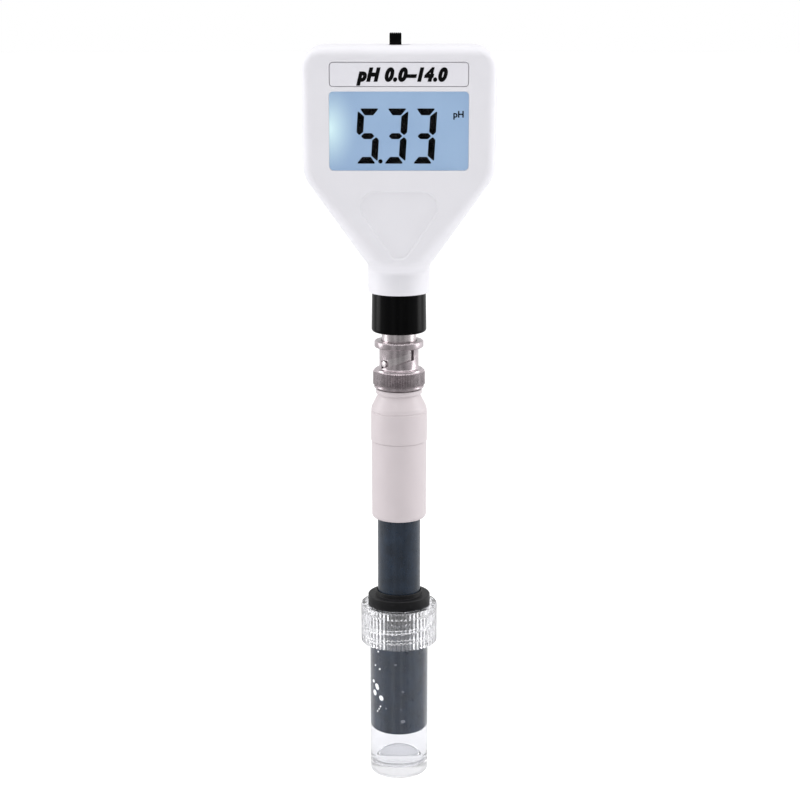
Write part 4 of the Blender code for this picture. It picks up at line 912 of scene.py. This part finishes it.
def make_cells():
    rim = 5.3
    for index in range(3):
        start = 10.6 - index * 5.5
        points = profile((0, 0.0, 0), (5.8, 0.0, 0.5), (5.8, -4.9, 0.25), (rim, -5.0, 0),
                         (rim - 0.1, -5.4, 0.2), (0, -5.4, 0), closed=False)
        piece("cell_%d" % (index + 1), turned(points, 64, "X", (start, 2.9, 180.5)), "steel",
              "head", "button_cell_%d" % (index + 1))


# ======================= neck, jack, coupling nut, plug =======================

PIN_ANGLE, PIN_Z = -141.5, 120.5  # of the jack's pins, and of the slots' feet


def make_neck():
    bore = 5.2
    points = profile((bore, 129.25, 0), (7.6, 129.25, 0.85), (7.43, 140.2, 0.05),
                     (6.4, 140.2, 0), (6.4, 146.0, 0.3), (bore, 146.0, 0.2), steps=6)
    piece("neck_collar", turned(points, 128), "black_plastic", "head", "neck_sleeve")

    points = profile((4.1, 116.6, 0.08), (4.8, 116.6, 0.2), (4.8, 127.6, 0), (4.8, 129.65, 0),
                     (5.05, 129.65, 0.05), (5.05, 149.6, 0.2), (2.75, 149.6, 0), (2.75, 127.8, 0),
                     (4.1, 127.8, 0))
    bm = turned(points, 128)
    for half_turn in (0.0, 180.0):
        pin = turned(profile((0, 4.4, 0), (0.95, 4.4, 0), (0.95, 5.42, 0.18), (0, 5.42, 0),
                             closed=False), 32, "X")
        spin(pin, PIN_ANGLE + half_turn)
        shift(pin, (0, 0, PIN_Z))
        merged(bm, pin)
    piece("jack_shell", bm, "nickel", "head", "jack_body")


def helical_bar(section, start_deg, sweep_deg, start_z, rise, steps):
    """A section of (radius, height) points swept round the Z axis as it climbs."""
    rings = []
    for i in range(steps + 1):
        a = math.radians(start_deg + sweep_deg * i / steps)
        z = start_z + rise * i / steps
        rings.append([(r * math.cos(a), r * math.sin(a), z + h) for r, h in section])
    return loft(rings)


KNURL_COUNT, KNURL_STEPS = 96, 5
KNURL_DEEP, KNURL_EDGE_DEEP, KNURL_SLOPE = 0.26, 0.12, 1.4


def make_coupling_nut():
    low, high = 114.45, 118.35
    corners = [(3.6, 113.45, 0), (6.75, 113.45, 0.1), (6.9, 113.62, 0.08), (6.9, 114.12, 0.05),
               (6.7, 114.18, 0), (6.7, 114.36, 0), (7.0, low, 0.0), (7.22, low + 0.15, 0.0),
               (7.22, high - 0.2, 0.0), (7.05, high, 0.04), (6.68, high, 0.03),
               (6.62, high + 0.42, 0.1), (6.45, high + 0.5, 0.05), (5.43, high + 0.56, 0.3),
               (5.43, 124.94, 0.12), (6.65, 124.94, 0.05), (6.8, 125.1, 0.05),
               (6.8, 126.48, 0.05), (6.54, 126.74, 0.05), (4.95, 126.74, 0.1),
               (4.95, 114.25, 0), (3.6, 114.25, 0)]
    points = profile(*corners, steps=3)

    def knurl(index, radius, height, angle):
        if radius < 6.9 or not low - 0.01 <= height <= high:
            return radius
        wave = (angle * KNURL_COUNT / TAU) % 1.0
        tooth = 1 - abs(2 * wave - 1)
        depth = KNURL_DEEP if radius > 7.1 else KNURL_EDGE_DEEP
        return radius - depth * (1 - min(tooth * KNURL_SLOPE, 1.0))

    segments = KNURL_COUNT * KNURL_STEPS
    nut = piece("bayonet_nut", turned(points, segments, shape=knurl), LOOKS["nickel_nut"],
                "coupling_nut", "coupling_nut", sharp=32, weighted=False)
    half, start, swept, rise, foot = 1.1, PIN_ANGLE, 89.5, 2.3, PIN_Z
    end = math.degrees(half / 5.43)
    per_deg = rise / swept
    inner, outer = 4.55, 5.72
    section = [(inner, -half), (outer, -half), (outer, half), (inner, half)]
    entry_z = foot + rise - half
    height = 127.8 - entry_z
    groove = [(inner, 0), (outer, 0), (outer, height), (inner, height)]
    run = swept + 1.2 * end
    cut(nut, *[helical_bar(section, start + turn - end, run, foot - per_deg * end,
                           per_deg * run, 40) for turn in (0.0, 180.0)])
    cut(nut, *[helical_bar(groove, start + swept + turn - end, 2 * end, entry_z, 0.0, 10)
               for turn in (0.0, 180.0)])


def make_plug():
    points = profile((1.2, 109.4, 0), (3.4, 109.4, 0), (3.4, 114.75, 0), (4.75, 114.75, 0.08),
                     (4.75, 115.65, 0.08), (3.95, 115.65, 0), (3.95, 126.0, 0.3), (3.1, 126.0, 0.1),
                     (3.1, 116.4, 0), (1.2, 116.4, 0))
    made = piece("plug_shell", turned(points, 80), "nickel", "electrode", "plug_body")
    slits = []
    for k in range(4):
        slit = box_body(2.6, 4.6, -0.25, 0.25, 119.0, 127.0)
        spin(slit, 45 + 90 * k)
        slits.append(slit)
    cut(made, *slits)


# ======================= electrode =======================

def make_electrode():
    bore, top = 6.15, 113.15
    points = profile((3.55, top, 0), (3.55, 108.3, 0), (bore, 108.3, 0), (bore, 98.35, 0),
                     (7.83, 98.35, 0.22), (7.83, 106.62, 0.12), (7.66, 106.78, 0.08),
                     (7.66, 106.98, 0.08), (7.8, 107.1, 0.1), (7.62, 108.1, 0.9),
                     (5.98, 111.35, 0.5), (5.98, 111.75, 0.1), (6.4, 111.9, 0.1),
                     (6.4, top, 0.3), steps=5)
    piece("electrode_head", turned(points, 128), "cap_white", "electrode", "electrode_cap")
    points = profile((bore, 98.32, 0), (bore, 76.1, 0.15), (7.63, 76.1, 1.15),
                     (7.65, 98.32, 0.1), steps=8)
    piece("electrode_handle", turned(points, 128), "cap_white", "electrode", "handle_sleeve")

    barrel = profile((4.6, 13.0, 0.3), (6.0, 13.0, 0.5), (6.0, 108.0, 0.1), (5.0, 108.0, 0.1),
                     (5.0, 30.0, 0), (4.0, 30.0, 0), (4.0, 25.0, 0.2), (4.6, 24.4, 0.2))
    made = piece("electrode_barrel", turned(barrel, 128), "electrode_body", "electrode",
                 "electrode_tube", "bulb_guard")
    hole = turned([(0, 4.0), (1.05, 4.0), (1.05, 7.0), (0, 7.0)], 40, "Y", (0, 0, 33.0))
    cut(made, hole)
    plug = profile((0, 5.05, 0), (0.98, 5.05, 0.1), (0.98, 5.9, 0.25), (0, 5.9, 0), closed=False)
    piece("reference_frit", turned(plug, 40, "Y", (0, 0, 33.0)), "ceramic", "electrode",
          "junction_plug")

    bulb_z, bulb_r, stem_r = 20.4, 3.3, 2.0
    inner_r = bulb_r - 0.4
    outer, inner = [[(r * math.cos(math.radians(a)), bulb_z + r * math.sin(math.radians(a)))
                     for a in angles] for r, angles in ((bulb_r, range(-84, 46, 6)),
                                                        (inner_r, range(48, -85, -6)))]
    neck = profile((2.2, 23.0, 0), (stem_r, 24.2, 0.6), (stem_r, 104.0, 0.1),
                   (stem_r - 0.5, 104.0, 0.1), (stem_r - 0.5, 24.1, 0.6), (1.85, 22.9, 0),
                   closed=False)
    points = [(0, bulb_z - bulb_r)] + outer + neck + inner + [(0, bulb_z - inner_r)]
    piece("sensing_bulb", turned(points, 72), "electrode_glass", "electrode", "glass_stem")


# ======================= storage bottle =======================

THREAD_Z, THREAD_PITCH, THREAD_TURNS = 41.0, 3.0, 1.5
THREAD_DEEP, THREAD_HALF, THREAD_CREST, THREAD_FADE = 0.8, 0.72, 0.35, 0.05
THREAD_START, CAP_THREAD_START = 1.0, 181.0  # degrees
RIBS, RIB_STEPS = 56, 10
RIB_DEEP, RIB_WIDTH, RIB_END = 0.48, 0.6, 0.5


def thread_height(angle, height, start_deg):
    """How far the thread stands out of its wall at this place."""
    best = 0.0
    turn = ((math.degrees(angle) - start_deg) % 360) / 360
    while turn < THREAD_TURNS:
        away = abs(height - (THREAD_Z + THREAD_PITCH * turn)) / THREAD_HALF
        fade = min(turn, THREAD_TURNS - turn) / THREAD_FADE
        if away < 1:
            swing = math.pi * max(away - THREAD_CREST, 0) / (1 - THREAD_CREST)
            smooth = 0.5 + 0.5 * math.cos(swing)
            best = max(best, THREAD_DEEP * smooth * min(fade, 1.0))
        turn += 1.0
    return best


def spaced(points, first, last, count):
    """Puts evenly spaced points between two neighbours in a profile."""
    (r0, z0), (r1, z1) = points[first], points[last]
    between = [(r0 + (r1 - r0) * i / count, z0 + (z1 - z0) * i / count) for i in range(1, count)]
    return points[:first + 1] + between + points[last:]


def make_seal():
    points = profile((6.15, 46.5, 0.1), (8.0, 46.5, 0.15), (8.0, 48.0, 0.1), (6.85, 48.0, 0.1),
                     (6.85, 50.1, 0.1), (8.75, 50.1, 0.25), (8.75, 53.5, 0.3),
                     (6.62, 53.5, 0.12), (6.55, 54.7, 0.2), (6.15, 54.7, 0.1), steps=4)
    piece("rubber_bung", turned(points, 128), "black_rubber", "bottle_seal", "bottle_seal")


def make_bottle_cap():
    low, high, outer_r, bore = 39.5, 50.8, 10.8, 9.25
    inside = profile((7.05, 49.8, 0.1), (7.05, 48.3, 0.1), (bore, 48.3, 0.25), (bore, low, 0.2),
                     closed=False, steps=3)
    outside = profile((bore, low, 0), (outer_r - 0.05, low, 0.45), (outer_r - 0.02, high, 0.4),
                      (9.25, high, 0.15), (9.1, 49.8, 0.25), (7.05, 49.8, 0), closed=False, steps=5)
    wall = [i for i, (r, _) in enumerate(inside) if abs(r - bore) < TINY]
    _, a, b = min((inside[j][1] - inside[i][1], i, j) for i, j in zip(wall, wall[1:]))
    rows = 56
    thread_rows = range(a, a + rows + 1)
    points = spaced(inside, a, b, rows)[:-1] + [(bore, low)] + outside[1:-1]
    start_out = len(points) - len(outside[1:-1])
    thread_wall, rib_wall = bore - 0.25, 9.6

    def shape(index, radius, height, angle):
        if index in thread_rows and radius > thread_wall:
            return radius - thread_height(angle, height, CAP_THREAD_START)
        if index >= start_out and radius > rib_wall:
            across = abs(2 * ((angle * RIBS / TAU) % 1.0) - 1)
            ends = min((height - low) / RIB_END, (high - height) / RIB_END, 1.0)
            return radius - RIB_DEEP * max(ends, 0.0) * max(1 - across / RIB_WIDTH, 0.0)
        return radius

    piece("bottle_screw_cap", turned(points, RIBS * RIB_STEPS, shape=shape), HAZY,
          "bottle_cap", "bottle_cap", weighted=False, sharp=35)


LIQUID_Z = 43.6
FLOOR_Z, DOME_TOP_Z, DOME_R = 2.9, 8.6, 4.9


def floor_dome(lift):
    """The pushed-up middle of the bottle's floor, from its top down to its foot."""
    return [(DOME_R * math.sin(a), FLOOR_Z + (DOME_TOP_Z - FLOOR_Z) * math.cos(a) + lift)
            for a in (math.radians(6 * k) for k in range(14))]


def make_bottle():
    radius, bore, rim = 8.25, 7.05, 46.2
    outside = profile((0, 0.35, 0), (4.6, 0.3, 0.4), (5.4, 0.0, 0.3), (6.9, 0.0, 0),
                      (radius, 0.0, 1.3), (radius, rim, 0.3), (bore, rim, 0.3), closed=False,
                      steps=8)
    wall = [i for i, (r, _) in enumerate(outside) if abs(r - radius) < TINY]
    _, a, b = max((outside[j][1] - outside[i][1], i, j) for i, j in zip(wall, wall[1:]))
    lower = (radius, 39.6)
    points = outside[:a + 1] + [lower]
    first_thread = len(points) - 1
    rows = 44
    top = outside[b]
    points += [(radius, lower[1] + (top[1] - lower[1]) * i / rows) for i in range(1, rows + 1)]
    last_thread = len(points) - 1
    points += outside[b + 1:-1]
    inner = profile((bore, rim, 0.3), (bore, LIQUID_Z, 0), (bore, FLOOR_Z, 1.5),
                    (5.15, FLOOR_Z, 0.2), (4.9, FLOOR_Z + 0.3, 0), closed=False, steps=6)
    inner += floor_dome(0.0)[::-1]
    points += inner[1:]

    def shape(index, r, height, angle):
        if first_thread <= index <= last_thread:
            return r + thread_height(angle, height, THREAD_START)
        return r

    bm = turned(points, 160, shape=shape)
    face_out(bm)
    for face in bm.faces:
        middle = face.calc_center_median()
        across = math.hypot(middle.x, middle.y)
        on_wall = across > bore - 0.05
        on_floor = middle.z > 1.2 and face.normal.z > 0
        if middle.z < LIQUID_Z and across < bore + 0.02 and (on_wall or on_floor):
            face.material_index = 1  # wetted
    bottle = piece("bottle_body", bm, "clear_plastic", "bottle", "bottle", weighted=False,
                   sharp=50, clean=False)
    bottle.data.materials.append(WETTED)

    gap = 0.015
    floor = floor_dome(gap) + profile((4.9, FLOOR_Z + 0.3 + gap, 0), (5.15, FLOOR_Z + gap, 0.2),
                                      (bore - gap, FLOOR_Z + gap, 1.5), (bore - gap, LIQUID_Z, 0),
                                      (0, LIQUID_Z, 0), closed=False, steps=6)
    liquid = turned(floor, 128)
    face_out(liquid)
    for face in liquid.faces:
        if face.calc_center_median().z < LIQUID_Z - 0.01:
            face.material_index = 1
    made = piece("storage_liquid", liquid, WATER, "bottle", weighted=False, clean=False)
    made.data.materials.append(WATER_SIDE)
    make_bubbles(bore)


BUBBLE_THICK, BUBBLE_FLATNESS, BUBBLE_GAP = 0.46, 0.85, 0.06
BUBBLES = (  # degrees round from the front, height, half-width, half-height, lean
    (-72, 27.8, 0.36, 0.50, -20), (-59, 26.6, 0.55, 0.98, -26), (-68, 24.5, 0.52, 0.88, -20),
    (-45, 23.6, 0.62, 0.80, -30), (-46, 21.1, 0.24, 0.24, 0), (-50, 20.2, 0.20, 0.26, 40),
    (-55, 19.4, 0.16, 0.30, 40), (-53, 37.4, 0.25, 0.28, 20), (-63, 33.0, 0.20, 0.22, 0),
    (-48, 32.3, 0.25, 0.26, 0), (-8, 34.3, 0.34, 0.28, 0), (9, 26.2, 0.34, 0.24, 0),
    (9, 17.2, 0.62, 0.50, -15), (4, 20.9, 0.18, 0.16, 0), (-7, 21.3, 0.13, 0.13, 0),
    (-30, 20.9, 0.12, 0.14, 0), (58, 13.6, 0.35, 0.30, 30), (20, 31.0, 0.11, 0.11, 0),
)


def make_bubbles(bore):
    """Gas bubbles pressed flat between the wall and the electrode."""
    bm = bmesh.new()
    for degrees, height, half_w, half_h, lean in BUBBLES:
        ball = bmesh.new()
        bmesh.ops.create_icosphere(ball, subdivisions=3, radius=1.0)
        thick = min(BUBBLE_THICK, half_w * BUBBLE_FLATNESS)
        resize(ball, (half_w, thick, half_h))
        spin(ball, lean, "Y")
        shift(ball, (0, -(bore - BUBBLE_GAP - thick), height))
        spin(ball, degrees)
        merged(bm, ball)
    piece("gas_bubbles", bm, BUBBLE, "bottle", weighted=False, clean=False)


# ======================= floor, light, camera =======================

def pointed(holder, place, along):
    """Puts a light or camera in place, looking along a direction."""
    holder.location = place
    holder.rotation_mode = "QUATERNION"
    holder.rotation_quaternion = along.to_track_quat("-Z", "Y")


def area_light(name, place, aim_at, size, power):
    light = bpy.data.lights.new(name, "AREA")
    light.shape = "RECTANGLE"
    light.size, light.size_y = size
    light.energy = power
    pointed(link_object(name, light), place, Vector(aim_at) - Vector(place))


AROUND = (  # degrees from the front, brightness in reflections
    (-180, 0.75), (-130, 0.9), (-114, 0.65), (-66, 0.6), (-57, 0.42), (-40, 0.32), (-28, 0.6),
    (-20, 0.6), (-14, 0.28), (0, 0.22), (5, 0.5), (12, 0.5), (16, 0.3), (36, 0.26), (42, 0.5),
    (50, 0.5), (57, 0.42), (66, 0.62), (110, 0.7), (122, 1.0), (135, 1.1), (180, 0.75),
)
OVERHEAD, OVERHEAD_RISE = 0.9, (0.3, 0.6)  # brightness, and where it fades in
UNDERFOOT, UNDERFOOT_FALL = 0.3, (-0.4, -0.7)
WHITE = grey(1.0)


def make_world():
    """White surroundings. Reflections see a studio: bright sides, a dark front with two strips."""
    world = bpy.data.worlds.new("studio")
    bpy.context.scene.world = world
    world.use_nodes = True
    world.node_tree.nodes.clear()
    n = Nodes(world.node_tree, "Generated")
    x, y, z = n.place()
    turn = n.math("ARCTAN2", x, n.math("MULTIPLY", y, -1.0))
    ramp = n.new("ValToRGB", {"Fac": n.math("ADD", n.math("DIVIDE", turn, TAU), 0.5)})
    stops = ramp.color_ramp.elements
    while len(stops) > 1:
        stops.remove(stops[-1])
    for index, (degrees, level) in enumerate(AROUND):
        at = (degrees + 180) / 360
        stop = stops[0] if index == 0 else stops.new(at)
        stop.position = at
        stop.color = grey(level)

    above, below = [n.spread(z, 0.0, 1.0, *fade, interpolation_type="SMOOTHSTEP")
                    for fade in (OVERHEAD_RISE, UNDERFOOT_FALL)]
    studio = n.blend(above, ramp.outputs["Color"], grey(OVERHEAD))
    studio = n.blend(below, studio, grey(UNDERFOOT))
    plain, reflected, seen = [
        n.new("Background", {"Color": color, "Strength": strength}).outputs[0]
        for color, strength in ((WHITE, WORLD_LIGHT), (studio, 1.0), (WHITE, 1.0))]
    path = n.new("LightPath").outputs
    lit = n.new("MixShader", {0: path["Is Glossy Ray"], 1: plain, 2: reflected}).outputs[0]
    clear = n.math("MAXIMUM", path["Is Camera Ray"], path["Is Transmission Ray"])
    shown = n.new("MixShader", {0: clear, 1: lit, 2: seen}).outputs[0]
    n.new("OutputWorld", {"Surface": shown})


WORLD_LIGHT = 0.66
CAMERA_X, AIM_Z, DISTANCE = 0.00028, 0.10972, 0.52  # metres
ELEVATION, VIEW = 12.5, 24.186  # degrees
SENSOR = 36.0
SIDE_LIGHT, SIDE_LIGHT_SIZE, SIDE_LIGHT_AIM = 2.9, (0.35, 0.8), (0, 0, 0.12)
TOP_LIGHT, TOP_LIGHT_SPREAD, TOP_LIGHT_TILT = 1.75, 70, 10


def make_studio():
    bpy.context.scene.view_settings.view_transform = "Standard"
    make_world()
    floor = bmesh.new()
    bmesh.ops.create_circle(floor, cap_ends=True, segments=96, radius=6.0)
    mesh = to_mesh(floor, "floor")
    mesh.materials.append(finish("pale_paper", (0.93, 0.93, 0.935), 0.9, tone=0.005,
                                 blotch_mm=60.0, grain_mm=2.0, grain_depth=0.0,
                                 Specular_IOR_Level=0.1))
    ground = link_object("floor", mesh)
    ground.visible_glossy = False

    sky = bpy.data.lights.new("soft_top", "SUN")
    sky.energy = TOP_LIGHT
    sky.angle = math.radians(TOP_LIGHT_SPREAD)
    link_object("soft_top", sky).rotation_euler = (math.radians(TOP_LIGHT_TILT), 0, 0)
    for name, x in (("left_light", -0.75), ("right_light", 0.75)):
        area_light(name, (x, 0.1, 0.35), SIDE_LIGHT_AIM, SIDE_LIGHT_SIZE, SIDE_LIGHT)

    camera = bpy.data.cameras.new("camera")
    camera.sensor_width = SENSOR
    camera.lens = SENSOR / 2 / math.tan(math.radians(VIEW / 2))
    camera.clip_start, camera.clip_end = 0.01, 50.0
    tilt = math.radians(ELEVATION)
    away = Vector((0, -math.cos(tilt), math.sin(tilt)))
    holder = link_object("camera", camera)
    pointed(holder, Vector((CAMERA_X, 0, AIM_Z)) + away * DISTANCE, -away)
    bpy.context.scene.camera = holder


def dress_cad_nodes():
    """The CAD nodes that stay get their slot's material."""
    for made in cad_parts.values():
        for slot in made.material_slots:
            name = slot.material.name.split(".")[0] if slot.material else ""
            for key, look in LOOKS.items():
                if name.endswith(key):
                    slot.material = look


CLEAR_PIECES = ("bottle_screw_cap", "bottle_body", "storage_liquid", "gas_bubbles")

for make in (make_studio, make_head, make_display, make_switch, make_trimmers, make_case_screws,
             make_door, make_cells, make_neck, make_coupling_nut, make_plug, make_electrode,
             make_seal, make_bottle_cap, make_bottle, dress_cad_nodes):
    make()
for name in CLEAR_PIECES:  # light passes through clear plastic and liquid
    bpy.data.objects[name].visible_shadow = False
